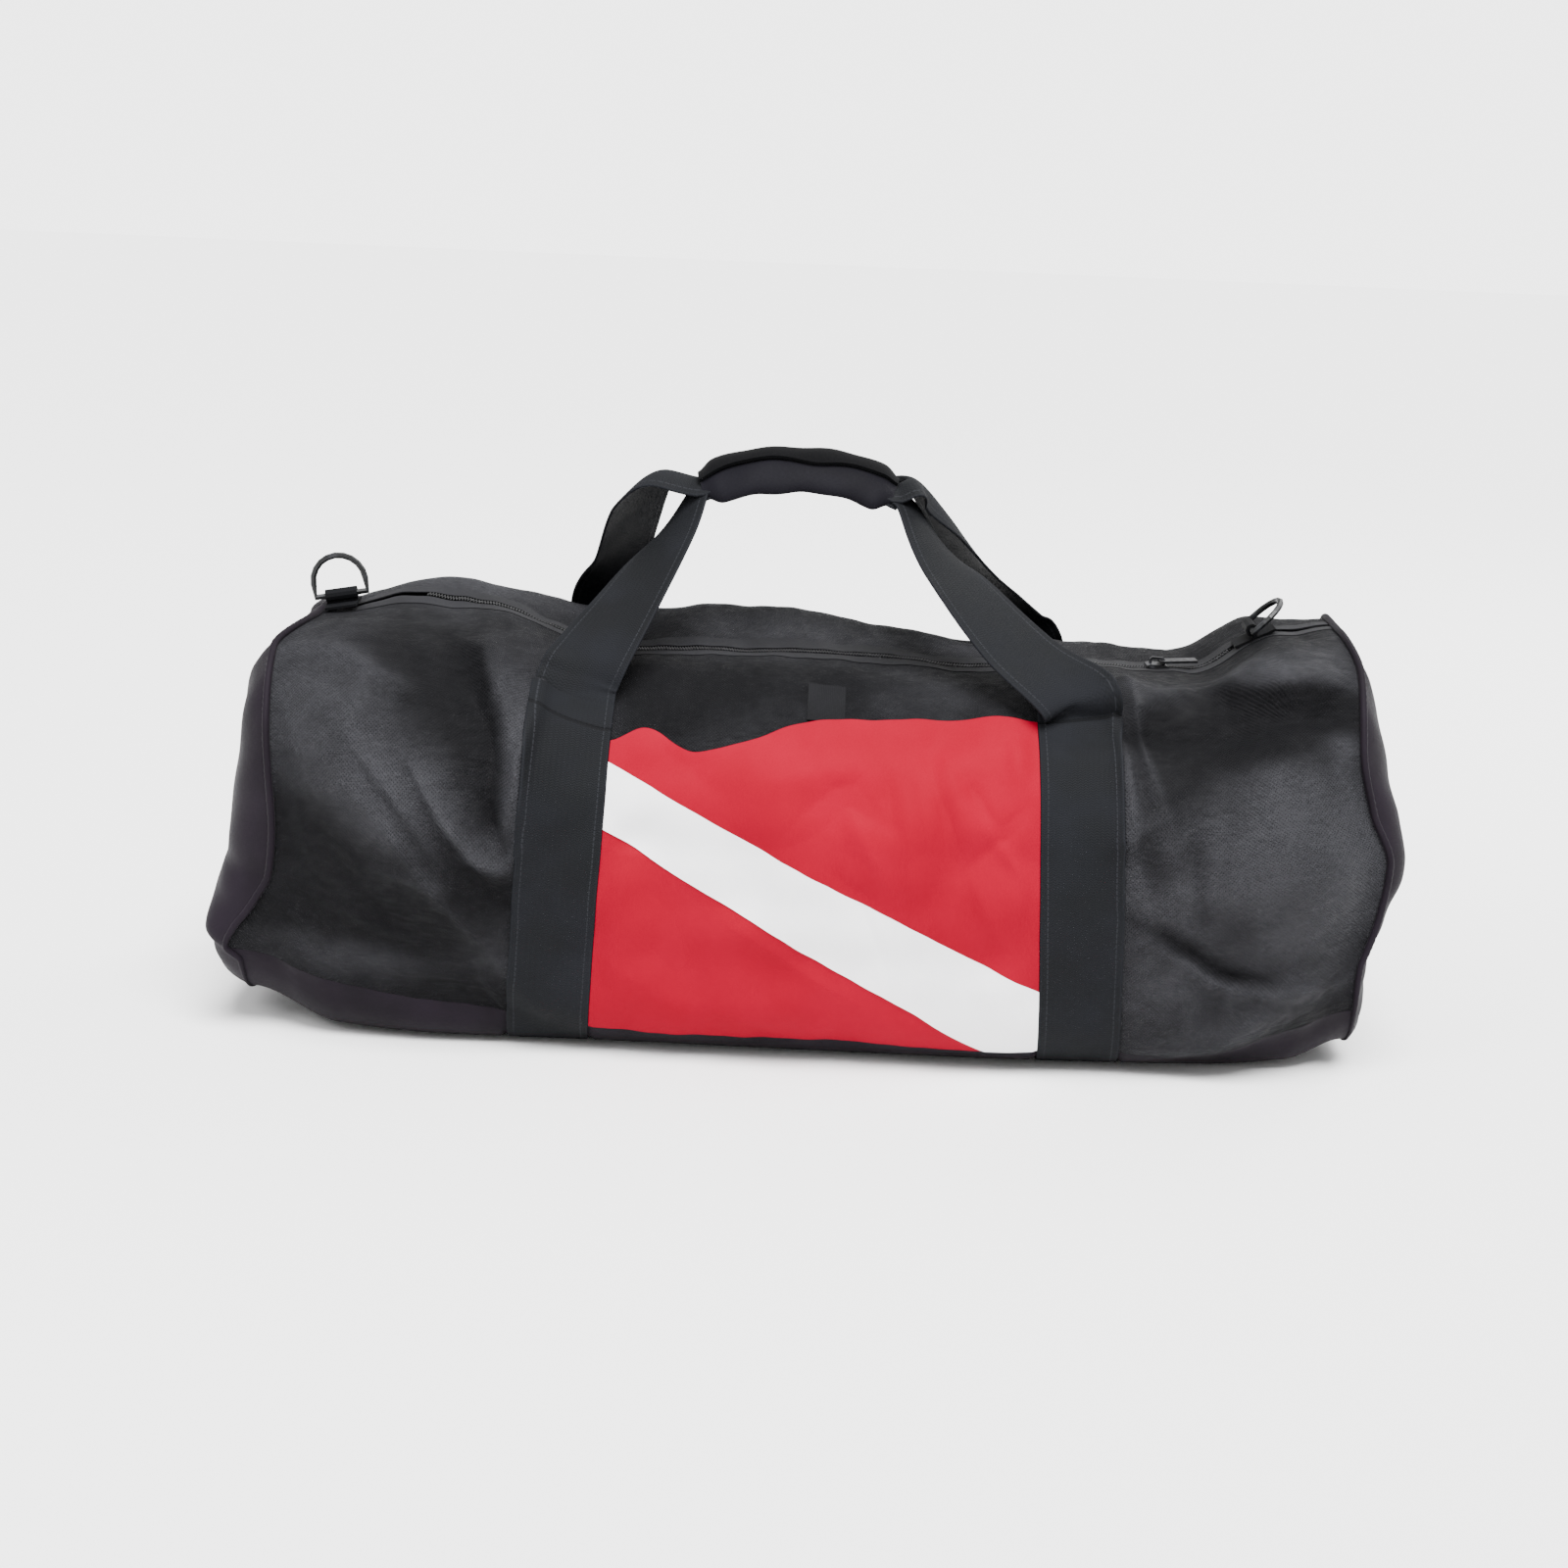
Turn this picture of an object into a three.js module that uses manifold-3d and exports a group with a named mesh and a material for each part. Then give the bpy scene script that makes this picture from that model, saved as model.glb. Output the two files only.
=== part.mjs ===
// A mesh duffel bag for dive gear, standing filled and zipped on the floor, in millimetres.
// X runs along the bag, its front faces -Y and Z is up. The origin is the middle of its
// footprint, on the floor. The bag is hollow: mesh sides, a cloth base and cloth ends are
// thin walls sewn round one skin, and everything sewn on follows that same skin.
import * as THREE from "three";
import { mergeVertices } from "three/addons/utils/BufferGeometryUtils.js";
import Module from "manifold-3d";

// Bag
const seamLength = 680;
const bagDepth = 286;
const bagHeight = 244;
const topRadius = 88;
const bottomRadius = 46;
const endBulge = 20;
const meshWall = 1.2;
const clothWall = 1.4;
const sewnGap = 0.3;
const foldRise = 14;

// Webbing and grip
const webWidth = 50;
const webThickness = 1.8;
const strapSpacing = 330;
const strapShift = 4;
const strapLean = 14;
const strapEase = 4;
const backLean = 13;
const backShift = -7;
const gripLength = 117;
const gripWidth = 58;
const gripHeight = 21;
const gripWall = 2.5;
const gripRise = 112;
const gripShift = -19;
const gripArch = 12.5;
const gripTilt = 0.5;
const gripLapStart = 79;
const gripLap = 61;
const webCurl = 8;

// Diver flag panel, a flat pocket between the straps, and its fastener
const flagThickness = 0.9;
const flagDrop = 196;
const flagTopDip = 26;
const fastenerWidth = 25;
const fastenerHeight = 19;
const fastenerShare = 0.5;

// Zip
const tapeWidth = 14;
const tapeThickness = 0.8;
const coilWidth = 6;
const coilHeight = 1.8;
const sliderLength = 14;
const sliderWidth = 10;
const sliderHeight = 4.6;
const pullLength = 24;
const pullWidth = 9;
const pullThickness = 1.6;
const pullTilt = 6;
const bailWire = 1.6;
const bailSpan = 7;

// Seam piping and D-rings
const pipingRadius = 2.2;
const ringWire = 2;
const ringWidth = 33;
const ringReach = 25;
const tabWidth = 20;
const tabThickness = 1.6;
const tabFoot = 14;
const wireClearance = 0.5;

// Places on the skin: "at" runs from -1 at the left seam to 1 at the right one, and "round"
// from 0 at the zip, over 0.25 at the front and 0.5 under the base, back to 1 at the zip.
const baseSeam = 0.345;
const baseFlat = 0.39;
const liftOff = 0.105;
const zipEnd = 0.8;
const sliderAt = 0.66;
const leftRingAt = -0.96;
const rightRingAt = 0.85;

const V = (x, y, z) => new THREE.Vector3(x, y, z);
const Y = V(0, 1, 0);
const lerp = THREE.MathUtils.lerp;
const smooth = THREE.MathUtils.smoothstep;

const seamHalf = seamLength / 2;
const halfDepth = bagDepth / 2;

// Cross-sections along the bag, as shares of bagHeight and of half the bagDepth. "zip" is
// how far the zip lies to the back of the middle, and "belly" how far the sides swell.
const SECTIONS = [
  { at: -1.0, depth: 0.8, height: 1.0, lift: 0.075, zip: 0.05, belly: 0.0 },
  { at: -0.84, depth: 0.92, height: 1.03, lift: 0.008, zip: 0.06, belly: 0.03 },
  { at: -0.66, depth: 0.97, height: 1.02, lift: 0.0, zip: 0.02, belly: 0.04 },
  { at: -0.42, depth: 0.97, height: 0.965, lift: 0.0, zip: -0.16, belly: 0.02 },
  { at: 0.0, depth: 0.99, height: 0.955, lift: 0.0, zip: -0.18, belly: 0.03 },
  { at: 0.3, depth: 1.0, height: 0.94, lift: 0.0, zip: -0.12, belly: 0.03 },
  { at: 0.55, depth: 0.98, height: 0.96, lift: 0.0, zip: -0.02, belly: 0.03 },
  { at: 0.72, depth: 0.95, height: 0.965, lift: 0.0, zip: 0.03, belly: 0.04 },
  { at: 0.88, depth: 0.89, height: 1.07, lift: 0.01, zip: 0.03, belly: 0.03 },
  { at: 1.0, depth: 0.78, height: 1.07, lift: 0.05, zip: 0.03, belly: 0.0 },
];

// The end seams lean and wander: their distance from the middle at each height, as shares
// of half the seamLength and of the bag's height.
const END_SEAMS = [
  { height: 0.0, left: 1.03, right: 0.98 },
  { height: 0.15, left: 1.08, right: 1.0 },
  { height: 0.3, left: 1.07, right: 1.0 },
  { height: 0.42, left: 1.03, right: 1.03 },
  { height: 0.55, left: 1.02, right: 1.055 },
  { height: 0.68, left: 1.03, right: 1.02 },
  { height: 0.8, left: 1.045, right: 1.0 },
  { height: 0.92, left: 1.02, right: 0.995 },
  { height: 1.0, left: 0.935, right: 0.95 },
];

// Folds and dents: place on the skin, length and width as shares of bagHeight, the turn of
// the length from the bag's axis, how sharp its ridge is and its rise, as a share of foldRise.
const FOLDS = [
  { at: -0.72, round: 0.13, long: 0.3, wide: 0.14, turn: 62, sharp: 1.3, rise: -0.85 },
  { at: -0.57, round: 0.17, long: 0.3, wide: 0.07, turn: 75, sharp: 1.2, rise: 0.75 },
  { at: -0.86, round: 0.17, long: 0.34, wide: 0.3, turn: 40, sharp: 2.0, rise: 0.55 },
  { at: -0.7, round: 0.25, long: 0.34, wide: 0.06, turn: 48, sharp: 1.2, rise: 0.7 },
  { at: -0.8, round: 0.31, long: 0.36, wide: 0.18, turn: 15, sharp: 2.0, rise: -0.8 },
  { at: -0.62, round: 0.325, long: 0.25, wide: 0.12, turn: 40, sharp: 2.0, rise: -0.5 },
  { at: -0.74, round: 0.97, long: 0.22, wide: 0.16, turn: 0, sharp: 2.0, rise: 0.7 },
  { at: -0.46, round: 0.99, long: 0.2, wide: 0.2, turn: 80, sharp: 2.0, rise: -0.5 },
  { at: -0.12, round: 0.945, long: 0.52, wide: 0.15, turn: 0, sharp: 2.0, rise: 1.4 },
  { at: -0.34, round: 0.2, long: 0.2, wide: 0.1, turn: 70, sharp: 2.0, rise: -0.3 },
  { at: 0.05, round: 0.22, long: 0.6, wide: 0.3, turn: 0, sharp: 2.0, rise: 0.35 },
  { at: 0.28, round: 0.15, long: 0.3, wide: 0.12, turn: -25, sharp: 1.6, rise: 0.3 },
  { at: 0.68, round: 0.125, long: 0.5, wide: 0.08, turn: 4, sharp: 1.5, rise: -0.7 },
  { at: 0.58, round: 0.2, long: 0.3, wide: 0.05, turn: 82, sharp: 1.3, rise: 0.5 },
  { at: 0.8, round: 0.215, long: 0.4, wide: 0.2, turn: -10, sharp: 2.0, rise: 0.7 },
  { at: 0.93, round: 0.245, long: 0.2, wide: 0.12, turn: 20, sharp: 1.4, rise: 0.5 },
  { at: 0.72, round: 0.335, long: 0.42, wide: 0.07, turn: -22, sharp: 1.4, rise: 0.5 },
  { at: 0.85, round: 0.365, long: 0.25, wide: 0.1, turn: -10, sharp: 2.0, rise: -0.6 },
  { at: 0.76, round: 0.01, long: 0.26, wide: 0.3, turn: 85, sharp: 2.0, rise: -0.55 },
  { at: -0.75, round: 0.8, long: 0.4, wide: 0.22, turn: -30, sharp: 2.0, rise: 0.6 },
  { at: -0.58, round: 0.72, long: 0.3, wide: 0.08, turn: 60, sharp: 1.3, rise: -0.7 },
  { at: -0.15, round: 0.82, long: 0.3, wide: 0.07, turn: 35, sharp: 1.3, rise: 0.55 },
  { at: 0.1, round: 0.74, long: 0.5, wide: 0.25, turn: 0, sharp: 2.0, rise: 0.6 },
  { at: 0.3, round: 0.85, long: 0.34, wide: 0.09, turn: -40, sharp: 1.4, rise: -0.6 },
  { at: 0.7, round: 0.78, long: 0.4, wide: 0.2, turn: 20, sharp: 2.0, rise: 0.65 },
  { at: 0.84, round: 0.7, long: 0.3, wide: 0.09, turn: 50, sharp: 1.3, rise: -0.6 },
];

// The flag's top edge, slack between its corners: dip below the right-hand corner.
const FLAG_TOP = [
  { share: 0.0, dip: 0.65 },
  { share: 0.08, dip: 0.4 },
  { share: 0.2, dip: 0.85 },
  { share: 0.3, dip: 0.68 },
  { share: 0.44, dip: 0.25 },
  { share: 0.7, dip: 0.08 },
  { share: 1.0, dip: 0.0 },
];

// The diagonal stripe's two edges: how far below the flag's head each starts at the left
// side, and how far it drops across the flag's width, as shares of the flag's drop.
const STRIPE = {
  upper: { left: 0.145, slope: 0.635 },
  lower: { left: 0.348, slope: 0.728 },
};

// Free legs of the handles, from where the webbing lifts off the bag to the mouth of the
// grip, as shares of that way across, up and inwards, with the share of its quarter twist.
const LEGS = {
  frontLeft: [
    { across: 0.14, up: 0.2, inward: 0.12, twist: 0.14 },
    { across: 0.42, up: 0.46, inward: 0.4, twist: 0.44 },
    { across: 0.68, up: 0.73, inward: 0.74, twist: 0.7 },
    { across: 0.87, up: 0.94, inward: 0.98, twist: 0.97 },
  ],
  frontRight: [
    { across: 0.02, up: 0.11, inward: -0.03, twist: 0.0 },
    { across: 0.32, up: 0.3, inward: 0.2, twist: 0.2 },
    { across: 0.66, up: 0.62, inward: 0.6, twist: 0.56 },
    { across: 0.87, up: 0.92, inward: 0.95, twist: 0.97 },
  ],
  backLeft: [
    { across: 0.03, up: 0.2, inward: 0.1, twist: 0.2 },
    { across: 0.19, up: 0.54, inward: 0.42, twist: 0.6 },
    { across: 0.37, up: 0.88, inward: 0.84, twist: 0.72 },
    { across: 0.57, up: 1.03, inward: 0.99, twist: 0.93 },
  ],
  backRight: [
    { across: 0.14, up: 0.16, inward: 0.1, twist: 0.2 },
    { across: 0.4, up: 0.46, inward: 0.4, twist: 0.55 },
    { across: 0.65, up: 0.82, inward: 0.76, twist: 0.8 },
    { across: 0.86, up: 1.02, inward: 0.97, twist: 1.0 },
  ],
};

// Looks
const finish = (color, roughness, metalness = 0) =>
  new THREE.MeshStandardMaterial({ color, roughness, metalness });
const FINISHES = {
  mesh: finish(0x2e2f33, 0.75),
  cloth: finish(0x2a262e, 0.8),
  webbing: finish(0x232428, 0.7),
  gripPad: finish(0x282632, 0.65),
  flagRed: finish(0xdf2f42, 0.65),
  flagWhite: finish(0xf4f4f6, 0.6),
  zipTape: finish(0x1d1d20, 0.7),
  zipCoil: finish(0x141416, 0.45),
  blackMetal: finish(0x1a1a1c, 0.4, 0.6),
  ringPlastic: finish(0x242629, 0.45),
};

// A smooth line through the rows of a table that never swings past them.
function columnOf(rows, place, name) {
  const at = rows.map((row) => row[place]);
  const value = rows.map((row) => row[name]);
  const rise = value.slice(1).map((v, i) => (v - value[i]) / (at[i + 1] - at[i]));
  const slope = value.map((_, i) => {
    if (i === 0 || i === rise.length) return 0;
    const [before, after] = [rise[i - 1], rise[i]];
    return before * after <= 0 ? 0 : (2 * before * after) / (before + after);
  });
  return (wanted) => {
    const p = THREE.MathUtils.clamp(wanted, at[0], at[at.length - 1]);
    const i = Math.max(0, Math.min(rise.length - 1, at.findIndex((a) => a > p) - 1));
    const k = p >= at[at.length - 1] ? rise.length - 1 : i;
    const step = at[k + 1] - at[k];
    const t = (p - at[k]) / step;
    const bend = t * t * (3 - 2 * t);
    const lead = slope[k] * step * t * (1 - t) * (1 - t);
    const tail = slope[k + 1] * step * t * t * (1 - t);
    return lerp(value[k], value[k + 1], bend) + lead - tail;
  };
}

const depthAt = columnOf(SECTIONS, "at", "depth");
const heightAt = columnOf(SECTIONS, "at", "height");
const liftAt = columnOf(SECTIONS, "at", "lift");
const zipAt = columnOf(SECTIONS, "at", "zip");
const bellyAt = columnOf(SECTIONS, "at", "belly");
const leftSeamAt = columnOf(END_SEAMS, "height", "left");
const rightSeamAt = columnOf(END_SEAMS, "height", "right");
const flagDipAt = columnOf(FLAG_TOP, "share", "dip");

// The outline of one cross-section: a point (y, z) and its outward normal at a share round.
function outline(at, round) {
  const side = round <= 0.5 ? -1 : 1;
  const half = halfDepth * depthAt(at);
  const lift = bagHeight * liftAt(at);
  const tall = bagHeight * heightAt(at) - lift;
  const zip = halfDepth * zipAt(at);
  const sideWall = (tall - topRadius - bottomRadius) / 2;
  const top = half - topRadius - side * zip;
  const bottom = half - bottomRadius;
  const quarters = 4 * (side < 0 ? round : 1 - round);
  const upper = top + (topRadius * Math.PI) / 2 + sideWall;
  const lower = sideWall + (bottomRadius * Math.PI) / 2 + bottom;
  let way = quarters < 1 ? quarters * upper : (quarters - 1) * lower;
  let turn = Math.PI / 2;
  let [y, z] = [half, bottomRadius + sideWall];
  if (quarters < 1 && way < top) {
    turn = 0;
    [y, z] = [side * zip + way, tall];
  } else if (quarters < 1) {
    way -= top;
    turn = Math.min(way / topRadius, Math.PI / 2);
    const past = Math.max(0, way - (topRadius * Math.PI) / 2);
    y = half - topRadius + topRadius * Math.sin(turn);
    z = tall - topRadius + topRadius * Math.cos(turn) - past;
  } else {
    z -= Math.min(way, sideWall);
    const down = THREE.MathUtils.clamp((way - sideWall) / bottomRadius, 0, Math.PI / 2);
    const under = Math.max(0, way - sideWall - (bottomRadius * Math.PI) / 2);
    turn += down;
    y = half - bottomRadius + bottomRadius * Math.cos(down) - under;
    z -= bottomRadius * Math.sin(down);
  }
  y += halfDepth * bellyAt(at) * Math.sin((Math.PI * z) / tall) ** 2;
  return { y: side * y, z: z + lift, ny: side * Math.sin(turn), nz: Math.cos(turn) };
}

// How far the folds push the skin out at a place.
const girth = 2 * (bagDepth + bagHeight) - (4 - Math.PI) * (topRadius + bottomRadius);
function foldAt(at, round) {
  return FOLDS.reduce((sum, fold) => {
    const apart = round - fold.round;
    const along = (at - fold.at) * seamHalf;
    const across = (apart - Math.round(apart)) * girth;
    const turn = THREE.MathUtils.degToRad(fold.turn);
    const length = along * Math.cos(turn) + across * Math.sin(turn);
    const width = across * Math.cos(turn) - along * Math.sin(turn);
    const inLength = (length / (fold.long * bagHeight)) ** 2;
    const inWidth = Math.abs(width / (fold.wide * bagHeight)) ** fold.sharp;
    return sum + fold.rise * foldRise * Math.exp(-inLength - inWidth);
  }, 0);
}

// Places of the straps along the bag, as "at" values
const strapOuter = (strapSpacing / 2 + webWidth / 2) / seamHalf;
const strapInner = (strapSpacing / 2 - webWidth / 2) / seamHalf;
const grooveEdge = strapEase / seamHalf;

// X of a place: straight between the end seams and the edges of the straps, which lean in,
// and at the back are pulled in further just below where the handle leaves the bag.
function placeX(at, round) {
  const height = (1 + Math.cos(2 * Math.PI * round)) / 2;
  const fromZip = round > 0.5 ? 1 - round : 0;
  const pulled = smooth(fromZip, 0, liftOff) * (1 - smooth(fromZip, liftOff, baseSeam));
  const out = strapSpacing / 2 - strapLean * height - backLean * pulled;
  const middle = strapShift + backShift * pulled;
  const places = [
    [-1, -seamHalf * leftSeamAt(height)],
    [-strapOuter, middle - out - webWidth / 2],
    [-strapInner, middle - out + webWidth / 2],
    [strapInner, middle + out - webWidth / 2],
    [strapOuter, middle + out + webWidth / 2],
    [1, seamHalf * rightSeamAt(height)],
  ];
  const i = Math.max(1, places.findIndex(([end]) => at <= end + 1e-9));
  const [[from, xFrom], [to, xTo]] = [places[i - 1], places[i]];
  return lerp(xFrom, xTo, (at - from) / (to - from));
}

// A point of the skin before the straps press into it.
function bareSkin(at, round) {
  const p = outline(at, round);
  const free = smooth(p.nz, -0.97, -0.45);
  const nearSeam = smooth(1 - Math.abs(at), 0, 0.08);
  const push = free * nearSeam * foldAt(at, round);
  return V(placeX(at, round), p.y + push * p.ny, p.z + push * p.nz);
}

function bareNormal(at, round) {
  const step = 0.004;
  const a = THREE.MathUtils.clamp(at, -1 + step, 1 - step);
  const alongBag = bareSkin(a + step, round).sub(bareSkin(a - step, round));
  const before = (round - step + 1) % 1;
  const after = (round + step) % 1;
  const roundBag = bareSkin(at, after).sub(bareSkin(at, before));
  return roundBag.cross(alongBag).normalize();
}

// Lines of the skin's grid, which all that is sewn on shares
function spread(from, to, steps) {
  return Array.from({ length: steps + 1 }, (_, i) => lerp(from, to, i / steps));
}
const tapeEdge = tapeWidth / girth;
const coilEdge = (coilWidth / 2 + sewnGap) / girth;
const WEB_STEPS = 4;
const outerLines = [
  strapInner - grooveEdge,
  ...spread(strapInner, strapOuter, WEB_STEPS),
  ...spread(strapOuter + grooveEdge, 1, 7),
];
const atLines = [
  ...outerLines.map((a) => -a).reverse(),
  ...spread(-strapInner + grooveEdge, strapInner - grooveEdge, 8).slice(1, -1),
  ...outerLines,
];
const frontRounds = [
  0,
  coilEdge,
  ...spread(tapeEdge, baseSeam, 12),
  ...spread(baseSeam, baseFlat, 3).slice(1),
];
const roundLines = [...frontRounds, 0.5, ...frontRounds.map((r) => 1 - r).reverse()];

// The straps lie flush with the base: the skin is pressed in under them there.
function grooveAt(at, normal) {
  const edge = Math.abs(Math.abs(at) - (strapInner + strapOuter) / 2) * seamHalf;
  const under = edge <= webWidth / 2 + 0.01 ? 1 : 0;
  return under * (webThickness + sewnGap) * smooth(-normal.z, 0.3, 0.95);
}
const grid = atLines.map((at) =>
  roundLines.map((round) => {
    const normal = bareNormal(at, round);
    const point = bareSkin(at, round).addScaledVector(normal, -grooveAt(at, normal));
    return { point, normal };
  }),
);

// The point at a place on the faceted skin, raised along its normal.
function cellOf(lines, value) {
  const i = Math.min(lines.length - 2, Math.max(0, lines.findLastIndex((l) => l <= value + 1e-9)));
  return [i, (value - lines[i]) / (lines[i + 1] - lines[i])];
}
function blend(at, round, name) {
  const [i, s] = cellOf(atLines, at);
  const [j, t] = cellOf(roundLines, ((round % 1) + 1) % 1);
  const low = grid[i][j][name].clone().lerp(grid[i][j + 1][name], t);
  const high = grid[i + 1][j][name].clone().lerp(grid[i + 1][j + 1][name], t);
  return low.lerp(high, s);
}
const normalAt = (at, round) => blend(at, round, "normal").normalize();
const skin = (at, round, raise = 0) =>
  blend(at, round, "point").addScaledVector(normalAt(at, round), raise);

// A closed mesh from points and triangles, turned to face out.
function solid(points, faces) {
  const volume = faces.reduce(
    (sum, [a, b, c]) => sum + points[a].dot(points[b].clone().cross(points[c])),
    0,
  );
  const facing = volume > 0 ? faces : faces.map(([a, b, c]) => [a, c, b]);
  return new THREE.BufferGeometry()
    .setFromPoints(points)
    .setIndex(facing.flat());
}

// A solid through rings of as many points each. It closes on itself, ends in poles, or has
// flat ends, which join the first half of a ring to its second half. "turned" cuts its
// squares along their other diagonal.
function loft(rings, { closed = false, poles = null, turned = false } = {}) {
  const count = rings[0].length;
  const points = rings.flat();
  const faces = [];
  const quad = (a, b, c, d) => faces.push([a, b, c], [a, c, d]);
  const joined = closed ? rings.length : rings.length - 1;
  for (let i = 0; i < joined; i++) {
    const [near, far] = [i * count, ((i + 1) % rings.length) * count];
    for (let k = 0; k < count; k++) {
      const next = (k + 1) % count;
      if (k < count / 2 !== turned) quad(near + k, far + k, far + next, near + next);
      else quad(far + k, far + next, near + next, near + k);
    }
  }
  const lastRing = (rings.length - 1) * count;
  if (poles) {
    points.push(...poles);
    for (let k = 0; k < count; k++) {
      const next = (k + 1) % count;
      faces.push([points.length - 2, k, next]);
      faces.push([points.length - 1, lastRing + next, lastRing + k]);
    }
  } else if (!closed) {
    for (let k = 0; k < count / 2 - 1; k++) {
      const [a, b, c, d] = [k, k + 1, count - 2 - k, count - 1 - k];
      quad(a, b, c, d);
      quad(lastRing + d, lastRing + c, lastRing + b, lastRing + a);
    }
  }
  return solid(points, faces);
}

// A wall sewn on the skin between two heights over it, through lines along and round it.
function patch(ats, roundsAt, low, high) {
  return loft(
    ats.map((at) => {
      const rounds = roundsAt(at);
      const outer = rounds.map((round) => skin(at, round, high));
      const inner = rounds.map((round) => skin(at, round, low)).reverse();
      return [...outer, ...inner];
    }),
  );
}
const linesBetween = (lines, from, to) => [
  from,
  ...lines.filter((l) => l > from + 1e-6 && l < to - 1e-6),
  to,
];

const bag = new THREE.Group();
function add(parent, name, geometry, material) {
  const mesh = new THREE.Mesh(geometry, material);
  mesh.name = name;
  parent.add(mesh);
  return mesh;
}

// Mesh sides, cloth base and cloth ends
const gapShare = sewnGap / girth;
function addPanels() {
  const frontLines = linesBetween(roundLines, tapeEdge + gapShare, baseSeam - gapShare);
  const backLines = frontLines.map((r) => 1 - r).reverse();
  const baseLines = linesBetween(roundLines, baseSeam, 1 - baseSeam);
  add(bag, "mesh_front", patch(atLines, () => frontLines, -meshWall, 0), FINISHES.mesh);
  add(bag, "mesh_back", patch(atLines, () => backLines, -meshWall, 0), FINISHES.mesh);
  add(bag, "base_panel", patch(atLines, () => baseLines, -clothWall, 0), FINISHES.cloth);
  add(bag, "end_panel_left", endPanel(-1), FINISHES.cloth);
  add(bag, "end_panel_right", endPanel(1), FINISHES.cloth);
}

// A dished end that starts just inside the seam and swells past it.
const endRounds = roundLines.slice(1, -1);
function endPanel(end) {
  const rim = endRounds.map((round) => skin(end, round, -clothWall - sewnGap));
  const seamMiddle = rim.reduce((sum, p) => sum.add(p), V(0, 0, 0)).divideScalar(rim.length);
  const SHARES = [1, 0.84, 0.58, 0.28];
  const ringAt = (share, thick) =>
    rim.map((p) => {
      const q = seamMiddle.clone().lerp(p, share);
      q.x = lerp(seamMiddle.x, p.x, share ** 2.4);
      q.x += end * (endBulge * (1 - share ** 4) + sewnGap + thick);
      return q;
    });
  const centre = (thick) => seamMiddle.clone().add(V(end * (endBulge + sewnGap + thick), 0, 0));
  const rings = [
    ...SHARES.map((share) => ringAt(share, 0)).reverse(),
    ...SHARES.map((share) => ringAt(share, clothWall)),
  ];
  return loft(rings, { poles: [centre(0), centre(clothWall)] });
}

// Piping laid over each end seam
function addPiping() {
  for (const [name, end] of [["piping_left", -1], ["piping_right", 1]]) {
    const line = endRounds.map((round) => skin(end, round, pipingRadius + sewnGap));
    add(bag, name, closedTube(line, pipingRadius, 6), FINISHES.cloth);
  }
}

// A round tube along a closed line of points.
function closedTube(line, radius, sides) {
  const centre = line.reduce((sum, p) => sum.add(p), V(0, 0, 0)).divideScalar(line.length);
  const rings = line.map((p, i) => {
    const before = line[(i + line.length - 1) % line.length];
    const along = line[(i + 1) % line.length].clone().sub(before).normalize();
    const out = p.clone().sub(centre);
    out.addScaledVector(along, -out.dot(along)).normalize();
    const across = along.clone().cross(out);
    return spread(0, 2 * Math.PI, sides).slice(1).map((turn) =>
      p.clone()
        .addScaledVector(out, radius * Math.cos(turn))
        .addScaledVector(across, radius * Math.sin(turn)),
    );
  });
  return loft(rings, { closed: true });
}

// Solids joined or cut out of one another
const wasm = await Module();
wasm.setup();
function toSolid(geometry) {
  const bare = geometry.clone();
  bare.deleteAttribute("normal");
  bare.deleteAttribute("uv");
  const merged = mergeVertices(bare);
  const vertProperties = new Float32Array(merged.attributes.position.array);
  const triVerts = new Uint32Array(merged.index.array);
  return new wasm.Manifold(new wasm.Mesh({ numProp: 3, vertProperties, triVerts }));
}
function fromSolid(body) {
  const { vertProperties, triVerts } = body.getMesh();
  const geometry = new THREE.BufferGeometry();
  geometry.setAttribute("position", new THREE.BufferAttribute(vertProperties, 3));
  return geometry.setIndex(new THREE.BufferAttribute(triVerts, 1));
}
const joined = (a, b) => fromSolid(toSolid(a).add(toSolid(b)));

// The part of a sewn piece that lies inside an outline, given as x and z, of the front.
function trimmed(geometry, corners) {
  const shape = new THREE.Shape(corners.map(([x, z]) => new THREE.Vector2(x, z)));
  const prism = new THREE.ExtrudeGeometry(shape, { depth: bagDepth, bevelEnabled: false });
  prism.rotateX(Math.PI / 2);
  return fromSolid(toSolid(geometry).intersect(toSolid(prism)));
}

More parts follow.
